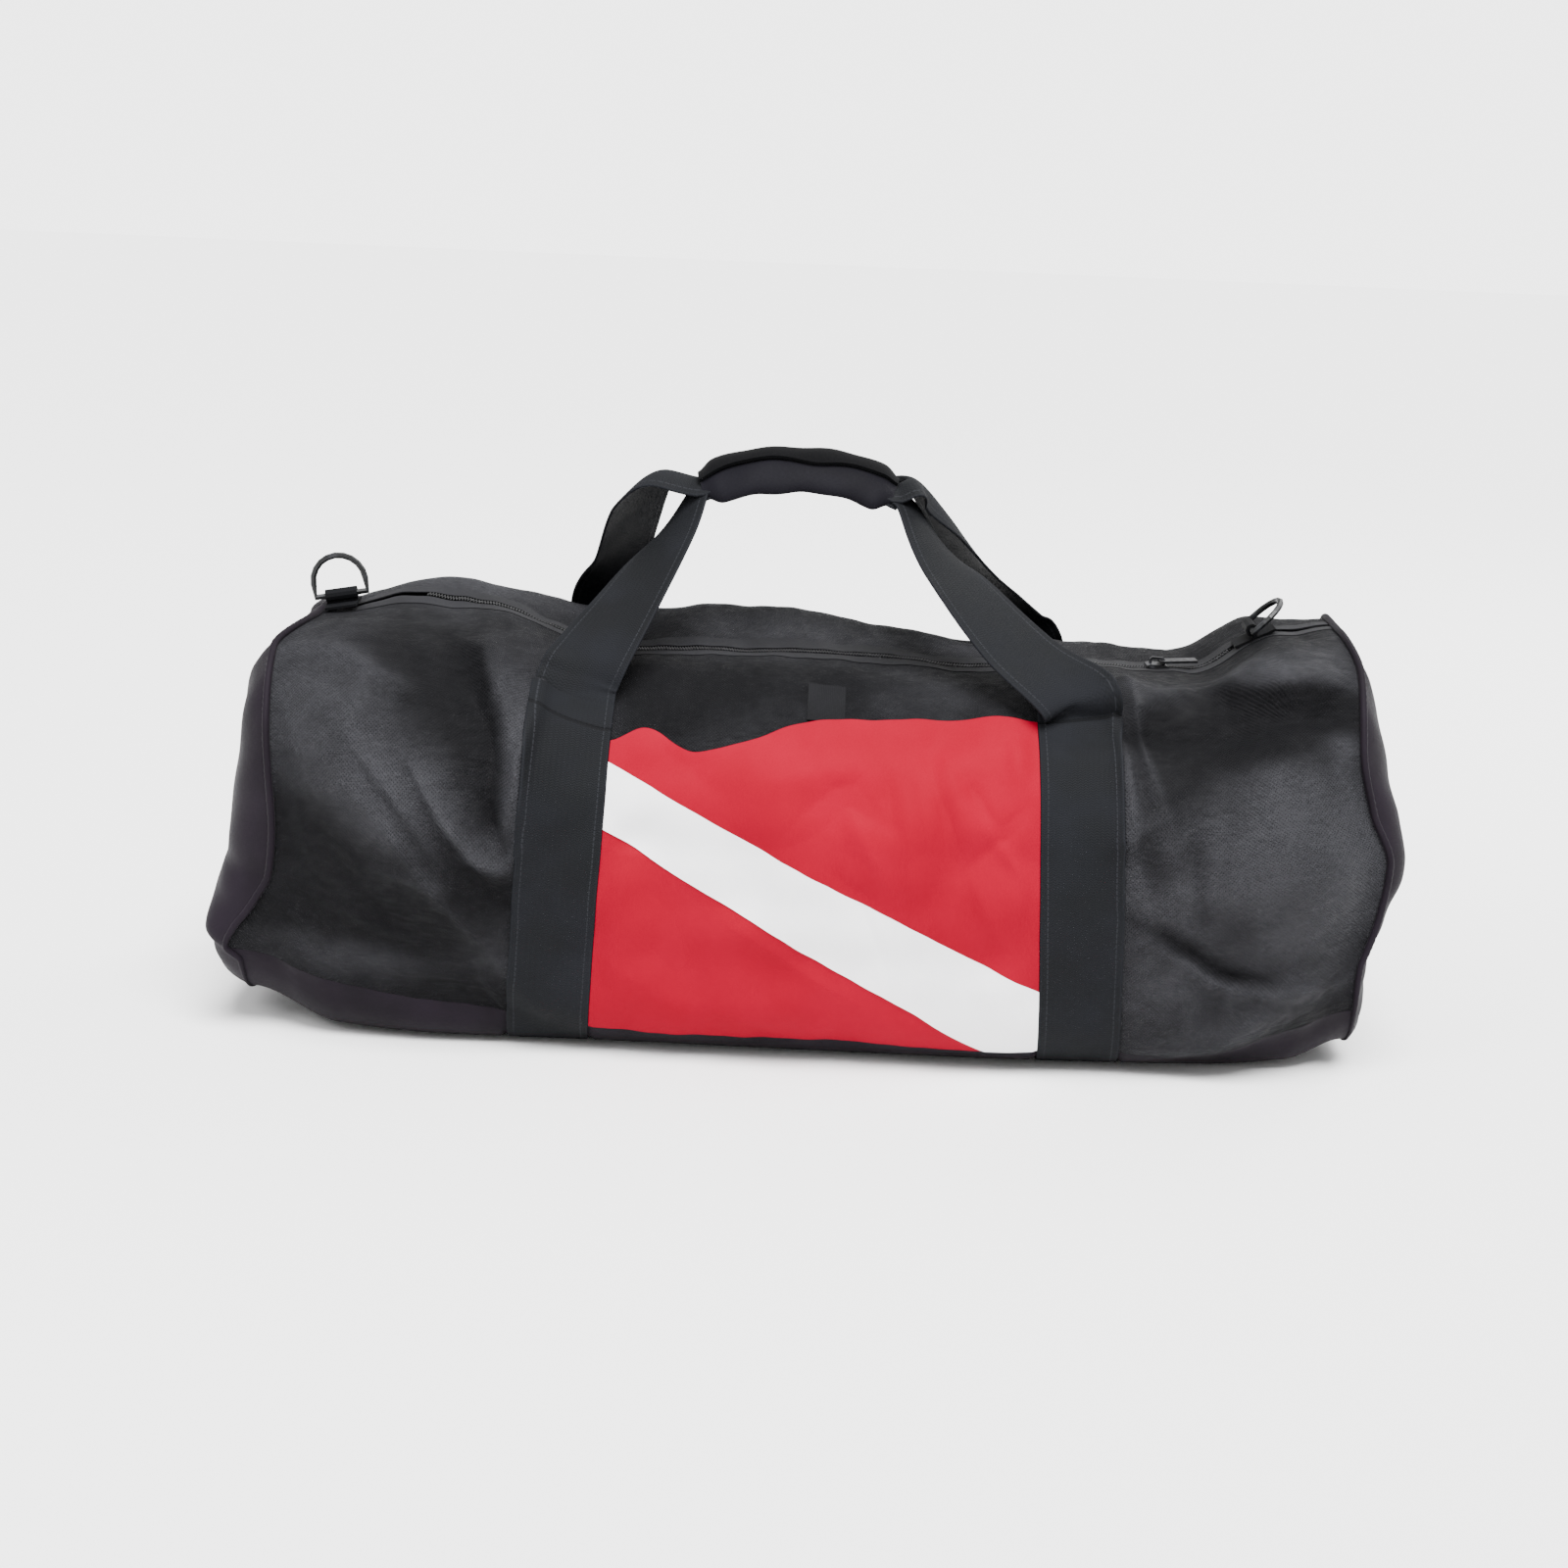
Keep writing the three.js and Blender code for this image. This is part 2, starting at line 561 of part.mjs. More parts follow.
// The diver flag panel with its stripe, and the fastener patch over it
const flagFoot = baseSeam - 4 * gapShare;
const flagSide = strapInner - sewnGap / seamHalf;
const flagHead = skin(flagSide, flagFoot).z + flagDrop;
function addFlag() {
  const ats = linesBetween(atLines, -flagSide, flagSide);
  const rounds = linesBetween(roundLines, liftOff / 2, flagFoot);
  const layer = (low) => patch(ats, () => rounds, low, low + flagThickness);
  const left = skin(-flagSide, baseSeam / 2).x;
  const width = skin(flagSide, baseSeam / 2).x - left;
  const topAt = (share) => flagHead - flagTopDip * flagDipAt(share);
  const head = spread(0, 1, 16).map((share) => [left + width * share, topAt(share)]);
  const [far, under] = [webWidth, -bagHeight];
  const outline = [
    [left - far, under],
    [left - far, head[0][1]],
    ...head,
    [left + width + far, flagHead],
    [left + width + far, under],
  ];
  add(bag, "flag_panel", trimmed(layer(sewnGap), outline), FINISHES.flagRed);

  const from = left - far;
  const to = left + width + far;
  const edge = (line, x) => flagHead - flagDrop * (line.left + (line.slope * (x - left)) / width);
  const band = [
    [from, edge(STRIPE.lower, from)],
    [from, edge(STRIPE.upper, from)],
    [to, edge(STRIPE.upper, to)],
    [to, edge(STRIPE.lower, to)],
  ];
  const stripe = trimmed(layer(2 * sewnGap + flagThickness), band);
  add(bag, "flag_stripe", stripe, FINISHES.flagWhite);

  const middle = left + width * fastenerShare;
  const foot = topAt(fastenerShare + fastenerWidth / 2 / width) + 3 * sewnGap;
  const corners = [
    [middle - fastenerWidth / 2, foot],
    [middle - fastenerWidth / 2, foot + fastenerHeight],
    [middle + fastenerWidth / 2, foot + fastenerHeight],
    [middle + fastenerWidth / 2, foot],
  ];
  const fastener = trimmed(layer(sewnGap), corners);
  add(bag, "pocket_fastener", fastener, FINISHES.webbing);
}

// The grip's own line: its middle at a share from -1 at the left mouth to 1 at the right
const topMiddle = bagHeight * heightAt(0);
function gripPoint(share) {
  const z = topMiddle + gripRise + gripTilt * share - gripArch * share * share;
  return V(gripShift + (share * gripLength) / 2, 0, z);
}
function gripFrame(share) {
  const step = 0.01;
  const along = gripPoint(share + step).sub(gripPoint(share - step)).normalize();
  return { along, up: along.clone().cross(Y).normalize() };
}

// One station of free webbing: its middle, the way it runs and the way to its inner edge.
// Its edges droop from its outer face by a share of webCurl.
function webRing(middle, along, inward, curl, side) {
  const across = inward.clone().addScaledVector(along, -inward.dot(along)).normalize();
  const face = across.clone().cross(along).normalize().multiplyScalar(-side);
  const half = webWidth / 2;
  const drop = webCurl * curl;
  const narrow = half - (2 * drop * drop) / (3 * half);
  const point = (share, height) => {
    const out = face.clone().addScaledVector(across, (2 * drop * share) / half).normalize();
    return middle
      .clone()
      .addScaledVector(across, share * narrow)
      .addScaledVector(face, -drop * share * share)
      .addScaledVector(out, height);
  };
  const places = spread(-1, 1, WEB_STEPS);
  return [
    ...places.map((share) => point(share, webThickness / 2)),
    ...places.map((share) => point(share, -webThickness / 2)).reverse(),
  ];
}

// The webbing where it is sewn to the skin, from its outer to its inner edge.
function sewnRings(end, rounds) {
  const ats = spread(end * strapOuter, end * strapInner, WEB_STEPS);
  return rounds.map((round) => [
    ...ats.map((at) => skin(at, round, sewnGap + webThickness)),
    ...ats.map((at) => skin(at, round, sewnGap)).reverse(),
  ]);
}

// A free leg, from the skin at the lift-off to the mouth of the grip.
const strapMiddle = (strapInner + strapOuter) / 2;
const LEG_STEPS = 11;
function legRings(end, side, rows, inGrip) {
  const round = side < 0 ? liftOff : 1 - liftOff;
  const raise = sewnGap + webThickness / 2;
  const before = skin(end * strapMiddle, round - side * 0.02, raise);
  const start = skin(end * strapMiddle, round, raise);
  const goal = inGrip(end);
  const points = rows.map(({ across, up, inward }) =>
    V(lerp(start.x, goal.x, across), lerp(start.y, goal.y, inward), lerp(start.z, goal.z, up)),
  );
  const curve = new THREE.CatmullRomCurve3([before, start, ...points, goal, inGrip(end * 0.8)]);
  const spans = rows.length + 3;
  const twists = [0, 0, ...rows.map((row) => row.twist), 1, 1];
  const twistAt = columnOf(twists.map((twist, span) => ({ span, twist })), "span", "twist");
  return spread(1, spans - 1, LEG_STEPS).slice(1, -1).map((span) => {
    const middle = curve.getPoint(span / spans);
    const along = curve.getTangent(span / spans).multiplyScalar(-end);
    const turn = (twistAt(span) * Math.PI) / 2;
    const inward = V(-end * Math.cos(turn), side * Math.sin(turn), 0);
    return webRing(middle, along, inward, smooth(twistAt(span), 0.4, 1), side);
  });
}

// One length of webbing each: up one strap, over as a handle and down the other strap.
function addWebbing(name, side, leftLeg, rightLeg) {
  const stacked = (side * (webThickness + 5 * sewnGap)) / 2 + webCurl / 2 + 4 * sewnGap;
  const inGrip = (share) => gripPoint(share).addScaledVector(gripFrame(share).up, stacked);
  const halfway = 0.5 - gapShare / 2;
  const rounds = linesBetween(roundLines, liftOff, halfway).map((r) => (side < 0 ? r : 1 - r));
  const inside = spread(-1, 1, 6).map((share) =>
    webRing(inGrip(share), gripFrame(share).along, V(0, side, 0), 1, side),
  );
  const rings = [
    ...sewnRings(-1, rounds).reverse(),
    ...legRings(-1, side, leftLeg, inGrip),
    ...inside,
    ...legRings(1, side, rightLeg, inGrip).reverse(),
    ...sewnRings(1, rounds),
  ];
  add(bag, name, loft(rings, { turned: side < 0 }), FINISHES.webbing);
}

// The padded grip: one piece of cloth wound round both handles, with its end lapped over.
// Its section is a rounded oval, bent down at its edges as the webbing in it is.
function addGrip() {
  const SQUARED = 2.3;
  const power = (value, half) => Math.sign(value) * Math.abs(value) ** (2 / SQUARED) * half;
  const wounds = spread(0, 360 + gripLap, 18);
  const rings = spread(-1, 1, 6).map((share) => {
    const { up } = gripFrame(share);
    const point = (wound, wall) => {
      const lap = (gripWall + 2 * sewnGap) * smooth(wound, 310, 360);
      const grow = wall + lap - gripWall;
      const turn = THREE.MathUtils.degToRad(gripLapStart + wound);
      const y = power(Math.cos(turn), gripWidth / 2 + grow);
      const z = power(Math.sin(turn), gripHeight / 2 + grow);
      const bend = webCurl * (0.5 - (y / (webWidth / 2)) ** 2);
      return gripPoint(share).addScaledVector(Y, y).addScaledVector(up, z + bend);
    };
    return [
      ...wounds.map((wound) => point(wound, gripWall)),
      ...wounds.map((wound) => point(wound, 0)).reverse(),
    ];
  });
  add(bag, "grip_wrap", loft(rings), FINISHES.gripPad);
}

// Zip: two tapes and the closed coil between them
function addZip() {
  const ats = linesBetween(atLines, -zipEnd, zipEnd);
  const tape = [coilEdge + gapShare, tapeEdge - gapShare / 2];
  const coil = [coilEdge - gapShare, 0, -(coilEdge - gapShare)];
  const back = tape.map((r) => 1 - r).reverse();
  const low = -tapeThickness / 2;
  const high = tapeThickness / 2;
  add(bag, "zip_tape_front", patch(atLines, () => tape, low, high), FINISHES.zipTape);
  add(bag, "zip_tape_back", patch(atLines, () => back, low, high), FINISHES.zipTape);
  const chain = loft(
    ats.map((at) => [
      ...coil.map((round) => skin(at, round, coilHeight / 2)),
      ...coil.map((round) => skin(at, round, -coilHeight / 2)).reverse(),
    ]),
  );
  add(bag, "zip_coil", chain, FINISHES.zipCoil);
}

// A group that sits over the zip as far each way as "reach": its X runs along the bag, turned
// by "turn", and its Z points out.
function seat(at, reach, raise, turn = 0) {
  const group = new THREE.Group();
  const ends = [-1, 1].map((side) => skin(at + (side * reach) / seamHalf, 0));
  const along = ends[1].clone().sub(ends[0]).normalize();
  const up = normalAt(at, 0).addScaledVector(along, -normalAt(at, 0).dot(along)).normalize();
  const place = ends[0].lerp(ends[1], 0.5);
  const bulge = Math.max(0, skin(at, 0).sub(place).dot(up));
  along.applyAxisAngle(up, THREE.MathUtils.degToRad(turn));
  const frame = new THREE.Matrix4().makeBasis(along, up.clone().cross(along), up);
  group.quaternion.setFromRotationMatrix(frame);
  group.position.copy(place).addScaledVector(up, raise + bulge);
  bag.add(group);
  return group;
}

// A flat piece cut from a sheet: a shape in XZ, as thick as given along Y and centred on it.
function plate(shape, thickness, curveSegments = 5) {
  const geometry = new THREE.ExtrudeGeometry(shape, {
    depth: thickness,
    bevelEnabled: false,
    curveSegments,
  });
  return geometry.translate(0, 0, -thickness / 2).rotateX(Math.PI / 2);
}

// The slider: a low body with a bail over it, and a pull whose eye goes round the bail.
function addSlider() {
  const group = seat(sliderAt, sliderLength / 2, coilHeight / 2 + 2 * sewnGap);
  const [half, low] = [sliderLength / 2, sliderHeight / 2];
  const body = new THREE.Shape();
  body.moveTo(-half, 0);
  body.lineTo(half, 0);
  body.lineTo(half, low * 0.6);
  body.lineTo(half - low, low);
  body.lineTo(low - half, low);
  body.lineTo(-half, low * 0.6);
  body.closePath();
  const inside = bailSpan / 2;
  const eyeHigh = pullThickness + 2 * wireClearance;
  const bail = new THREE.Shape();
  bail.moveTo(-inside - bailWire, low / 2);
  bail.lineTo(inside + bailWire, low / 2);
  bail.lineTo(inside + bailWire, low + eyeHigh);
  bail.lineTo(inside, low + eyeHigh + bailWire);
  bail.lineTo(-inside, low + eyeHigh + bailWire);
  bail.lineTo(-inside - bailWire, low + eyeHigh);
  bail.closePath();
  const hole = new THREE.Path();
  hole.moveTo(-inside, low);
  hole.lineTo(-inside, low + eyeHigh);
  hole.lineTo(inside, low + eyeHigh);
  hole.lineTo(inside, low);
  hole.closePath();
  bail.holes.push(hole);
  const whole = joined(plate(body, sliderWidth), plate(bail, bailWire));
  add(group, "zip_slider", whole, FINISHES.blackMetal);

  const legClear = bailWire / 2 + wireClearance;
  const legMiddle = inside + bailWire / 2;
  const pull = new THREE.Shape();
  const pullFrom = legMiddle - legClear - bailWire;
  pull.moveTo(pullFrom, -pullWidth / 2);
  pull.lineTo(pullFrom + pullLength, -pullWidth / 2);
  pull.lineTo(pullFrom + pullLength, pullWidth / 2);
  pull.lineTo(pullFrom, pullWidth / 2);
  pull.closePath();
  const eye = new THREE.Path();
  eye.moveTo(legMiddle - legClear, -legClear);
  eye.lineTo(legMiddle - legClear, legClear);
  eye.lineTo(legMiddle + legClear, legClear);
  eye.lineTo(legMiddle + legClear, -legClear);
  eye.closePath();
  pull.holes.push(eye);
  const tongue = new THREE.ExtrudeGeometry(pull, { depth: pullThickness, bevelEnabled: false });
  const puller = add(group, "zip_pull", tongue, FINISHES.blackMetal);
  puller.position.set(0, 0, low + wireClearance);
  puller.rotation.y = -THREE.MathUtils.degToRad(pullTilt);
}

// A D-ring: a straight bar closed by a round bow, standing up from its bar along X.
function ringGeometry() {
  const half = ringWidth / 2;
  const rise = ringReach - half;
  const bow = spread(0, Math.PI, 10).map((turn) =>
    V(half * Math.cos(turn), 0, rise + half * Math.sin(turn)),
  );
  return closedTube([V(-half, 0, 0), V(0, 0, 0), V(half, 0, 0), ...bow], ringWire, 7);
}

// The webbing tab that holds a ring: a foot sewn to the bag and an eye round the ring's bar.
function tabGeometry(standing) {
  const hole = ringWire + wireClearance;
  const eye = hole + tabThickness;
  const neck = tabThickness;
  const shape = new THREE.Shape();
  shape.moveTo(-neck, tabThickness);
  shape.lineTo(-tabFoot, tabThickness);
  shape.lineTo(-tabFoot, 0);
  shape.lineTo(tabFoot, 0);
  shape.lineTo(tabFoot, tabThickness);
  shape.lineTo(neck, tabThickness);
  const from = Math.asin(-Math.sqrt(1 - (neck / eye) ** 2));
  shape.absarc(0, standing, eye, from, Math.PI - from, false);
  shape.closePath();
  const wire = new THREE.Path();
  wire.absarc(0, standing, hole, 0, 2 * Math.PI, true);
  shape.holes.push(wire);
  return plate(shape, tabWidth);
}

function addRing(name, at, turn, leanDegrees) {
  const standing = ringWire + wireClearance + 2 * tabThickness + 1;
  const group = seat(at, tabWidth / 2, tapeThickness / 2 + 4 * sewnGap, turn);
  const tab = add(group, name + "_tab", tabGeometry(standing), FINISHES.webbing);
  tab.rotation.z = Math.PI / 2;
  const ring = add(group, name, ringGeometry(), FINISHES.ringPlastic);
  ring.position.z = standing;
  ring.rotation.x = THREE.MathUtils.degToRad(leanDegrees);
}

addPanels();
addPiping();
addFlag();
addWebbing("webbing_front", -1, LEGS.frontLeft, LEGS.frontRight);
addWebbing("webbing_back", 1, LEGS.backLeft, LEGS.backRight);
addGrip();
addZip();
addSlider();
addRing("d_ring_left", leftRingAt, 0, 0);
addRing("d_ring_right", rightRingAt, 90, 72);

// Stand the bag on the floor with the middle of its footprint at the origin.
bag.updateMatrixWorld(true);
const room = new THREE.Box3().setFromObject(bag);
bag.position.set(-(room.min.x + room.max.x) / 2, -(room.min.y + room.max.y) / 2, -room.min.z);

export default bag;
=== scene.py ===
"""A mesh duffel bag for dive gear, standing filled and zipped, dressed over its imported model.

Every cloth piece is lofted from one skin: sections along the bag, wandering end seams and a
table of folds. Places on the skin are "at", from -1 at the left seam to 1 at the right one,
and "turn", from 0 at the zip over the front (0.25) and the base (0.5) back to the zip (1).
"""
import logging
import math
from dataclasses import dataclass, field
from enum import Enum
from typing import Callable, Sequence

import bpy
import numpy as np
from mathutils import Matrix, Vector


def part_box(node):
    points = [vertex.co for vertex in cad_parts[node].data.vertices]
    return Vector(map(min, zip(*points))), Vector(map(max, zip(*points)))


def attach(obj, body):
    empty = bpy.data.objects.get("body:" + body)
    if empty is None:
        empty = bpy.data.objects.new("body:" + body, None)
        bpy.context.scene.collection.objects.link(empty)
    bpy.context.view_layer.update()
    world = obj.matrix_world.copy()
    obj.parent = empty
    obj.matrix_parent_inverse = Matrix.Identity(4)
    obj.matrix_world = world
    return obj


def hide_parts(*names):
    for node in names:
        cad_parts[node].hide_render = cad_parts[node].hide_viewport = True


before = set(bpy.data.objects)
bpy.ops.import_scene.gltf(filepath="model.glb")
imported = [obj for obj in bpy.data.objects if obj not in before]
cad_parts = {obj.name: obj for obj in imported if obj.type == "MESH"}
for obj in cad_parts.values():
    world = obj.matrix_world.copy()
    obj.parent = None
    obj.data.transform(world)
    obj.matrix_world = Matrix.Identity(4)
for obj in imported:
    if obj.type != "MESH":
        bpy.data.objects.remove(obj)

LOG = logging.getLogger("mesh_bag")
MM = 0.001
BODY = "root"
UV_NAME = "Cloth"
# The stored rise, with the painted light and shade patches in it, from which the mesh finish paints
# light and shade
LIGHT_RISE_NAME = "rise"
ROW_NAME = "from_row"

Numbers = float | np.ndarray
Color = tuple[float, float, float, float]
Socket = bpy.types.NodeSocket
Piece = bpy.types.Object


# Numbers and curves


def ease(value: Numbers, low: float, high: float) -> np.ndarray:
    """A smooth step of value from 0 at low to 1 at high."""
    share = np.clip((np.asarray(value, float) - low) / (high - low), 0.0, 1.0)
    return share * share * (3.0 - 2.0 * share)


def unit(vectors: np.ndarray) -> np.ndarray:
    """The vectors of the last axis, each made one long."""
    length = np.linalg.norm(vectors, axis=-1, keepdims=True)
    return vectors / np.maximum(length, 1e-12)


@dataclass
class Column:
    """A smooth line through the rows of a table that never swings past them.

    Args:
        places: where the rows stand, rising.
        values: the value of each row.
    """

    places: Sequence[float]
    values: Sequence[float]

    def __call__(self, wanted: np.ndarray) -> np.ndarray:
        """The line's value.

        Args:
            wanted: the places that are asked for.

        Returns:
            One value for each place.
        """
        at, value = np.asarray(self.places, float), np.asarray(self.values, float)
        rise = np.diff(value) / np.diff(at)
        before, after = rise[:-1], rise[1:]
        product = before * after
        total = np.where(np.abs(before + after) < 1e-12, 1.0, before + after)
        slope = np.zeros(len(at))
        slope[1:-1] = np.where(product <= 0, 0.0, 2.0 * product / total)
        place = np.clip(wanted, at[0], at[-1])
        k = np.clip(np.searchsorted(at, place, side="right") - 1, 0, len(rise) - 1)
        step = at[k + 1] - at[k]
        t = (place - at[k]) / step
        bend = t * t * (3.0 - 2.0 * t)
        lead = slope[k] * step * t * (1.0 - t) ** 2
        tail = slope[k + 1] * step * t * t * (1.0 - t)
        return value[k] + (value[k + 1] - value[k]) * bend + lead - tail


def spline(points: np.ndarray, places: np.ndarray) -> np.ndarray:
    """Points of a smooth curve through given ones.

    Args:
        points: the points that the curve goes through.
        places: where it is wanted, counted in points from the first.

    Returns:
        One point for each place.
    """
    last = len(points) - 1
    k = np.clip(np.floor(places).astype(int), 0, last - 1)
    t = (places - k)[:, None]
    rows = [points[np.clip(k + step, 0, last)] for step in (-1, 0, 1, 2)]
    a = 2.0 * rows[1]
    b = rows[2] - rows[0]
    c = 2.0 * rows[0] - 5.0 * rows[1] + 4.0 * rows[2] - rows[3]
    d = -rows[0] + 3.0 * rows[1] - 3.0 * rows[2] + rows[3]
    return 0.5 * (a + b * t + c * t**2 + d * t**3)


@dataclass
class Ripple:
    """Soft random swells made of crossed waves, the same each run.

    Args:
        length: the usual distance between two swells, in metres.
        seed: picks one pattern.
        waves: how many waves are crossed.
        stretch: the shortest and longest wave, as shares of the length.
    """

    length: float
    seed: int
    waves: int = 14
    stretch: tuple[float, float] = (0.6, 1.7)

    def __call__(self, points: np.ndarray) -> np.ndarray:
        """The height of the swells.

        Args:
            points: places in space, in metres.

        Returns:
            A height between about -1 and 1 for each point.
        """
        rng = np.random.default_rng(self.seed)
        total = np.zeros(points.shape[:-1])
        for _ in range(self.waves):
            way = unit(rng.normal(size=3))
            stretch = self.length * rng.uniform(*self.stretch)
            phase = rng.uniform(0.0, 2.0 * math.pi)
            total += np.sin(2.0 * math.pi * (points @ way) / stretch + phase)
        return total / math.sqrt(self.waves)


# The skin that every cloth piece follows


@dataclass(frozen=True)
class Section:
    """One cross-section, as shares of the bag's height and of half its depth."""

    at: float
    depth: float
    height: float
    lift: float
    zip: float
    belly: float


@dataclass(frozen=True)
class SeamHeight:
    """How far the two end seams stand from the middle at one height."""

    height: float
    left: float
    right: float


@dataclass(frozen=True)
class Fold:
    """A fold or dent on the skin, sized as shares of the bag's height."""

    at: float
    turn: float
    long: float
    wide: float
    angle: float
    sharp: float
    rise: float


@dataclass(frozen=True)
class Crease:
    """A crease or ridge seen on the front, from one place to another, in millimetres.

    It is placed by x and z, "wide" is its half width and "rise" its height, and "lean" makes
    its upper flank steeper (above 0) or its lower one (below 0).
    """

    start: tuple[float, float]
    end: tuple[float, float]
    wide: float
    rise: float
    lean: float = 0.0


@dataclass(frozen=True)
class LightPatch:
    """A patch of painted light or painted shade on the front, with its middle and half sizes in
    millimetres.

    Its strength is the height in millimetres of a fold that would be painted as pale: above 0 it is
    painted light, below 0 painted shade.
    """

    middle: tuple[float, float]
    size: tuple[float, float]
    strength: float


SECTIONS = (
    Section(-1.0, 0.8, 1.0, 0.075, 0.05, 0.0),
    Section(-0.84, 0.92, 1.03, 0.008, 0.06, 0.03),
    Section(-0.66, 0.97, 1.02, 0.0, 0.02, 0.04),
    Section(-0.42, 0.97, 0.965, 0.0, -0.16, 0.02),
    Section(0.0, 0.99, 0.955, 0.0, -0.18, 0.03),
    Section(0.3, 1.0, 0.94, 0.0, -0.12, 0.03),
    Section(0.55, 0.98, 0.96, 0.0, -0.02, 0.03),
    Section(0.72, 0.95, 0.965, 0.0, 0.03, 0.04),
    Section(0.88, 0.89, 1.07, 0.01, 0.03, 0.03),
    Section(1.0, 0.78, 1.07, 0.05, 0.03, 0.0),
)

END_SEAMS = (
    SeamHeight(0, 1.01, 0.985),
    SeamHeight(0.13, 1.02, 0.99),
    SeamHeight(0.235, 1.025, 0.988),
    SeamHeight(0.274, 1.05, 0.988),
    SeamHeight(0.32, 1.035, 0.99),
    SeamHeight(0.365, 1.01, 1.0),
    SeamHeight(0.41, 0.99, 1.01),
    SeamHeight(0.46, 0.972, 1.018),
    SeamHeight(0.57, 0.966, 1.028),
    SeamHeight(0.68, 0.972, 0.99),
    SeamHeight(0.8, 0.982, 0.967),
    SeamHeight(0.92, 0.987, 0.968),
    SeamHeight(1, 0.935, 0.95),
)

FOLDS = (
    Fold(-0.72, 0.13, 0.3, 0.14, 62, 1.3, -0.85),
    Fold(-0.57, 0.17, 0.3, 0.07, 75, 1.2, 0.75),
    Fold(-0.86, 0.17, 0.34, 0.3, 40, 2.0, 0.55),
    Fold(-0.7, 0.25, 0.34, 0.06, 48, 1.2, 0.7),
    Fold(-0.8, 0.31, 0.36, 0.18, 15, 2.0, -0.8),
    Fold(-0.62, 0.325, 0.25, 0.12, 40, 2.0, -0.5),
    Fold(-0.74, 0.97, 0.22, 0.16, 0, 2.0, 0.7),
    Fold(-0.46, 0.99, 0.2, 0.2, 80, 2.0, -0.5),
    Fold(-0.12, 0.945, 0.52, 0.15, 0, 2.0, 1.4),
    Fold(-0.34, 0.2, 0.2, 0.1, 70, 2.0, -0.3),
    Fold(0.05, 0.22, 0.6, 0.3, 0, 2.0, 0.35),
    Fold(0.28, 0.15, 0.3, 0.12, -25, 1.6, 0.3),
    Fold(0.68, 0.125, 0.5, 0.08, 4, 1.5, -0.7),
    Fold(0.58, 0.2, 0.3, 0.05, 82, 1.3, 0.5),
    Fold(0.8, 0.215, 0.4, 0.2, -10, 2.0, 0.7),
    Fold(0.93, 0.245, 0.2, 0.12, 20, 1.4, 0.5),
    Fold(0.72, 0.335, 0.42, 0.07, -22, 1.4, 0.5),
    Fold(0.85, 0.365, 0.25, 0.1, -10, 2.0, -0.6),
    Fold(0.76, 0.01, 0.26, 0.3, 85, 2.0, -0.55),
    Fold(-0.75, 0.8, 0.4, 0.22, -30, 2.0, 0.6),
    Fold(-0.58, 0.72, 0.3, 0.08, 60, 1.3, -0.7),
    Fold(-0.15, 0.82, 0.3, 0.07, 35, 1.3, 0.55),
    Fold(0.1, 0.74, 0.5, 0.25, 0, 2.0, 0.6),
    Fold(0.3, 0.85, 0.34, 0.09, -40, 1.4, -0.6),
    Fold(0.7, 0.78, 0.4, 0.2, 20, 2.0, 0.65),
    Fold(0.84, 0.7, 0.3, 0.09, 50, 1.3, -0.6),
)

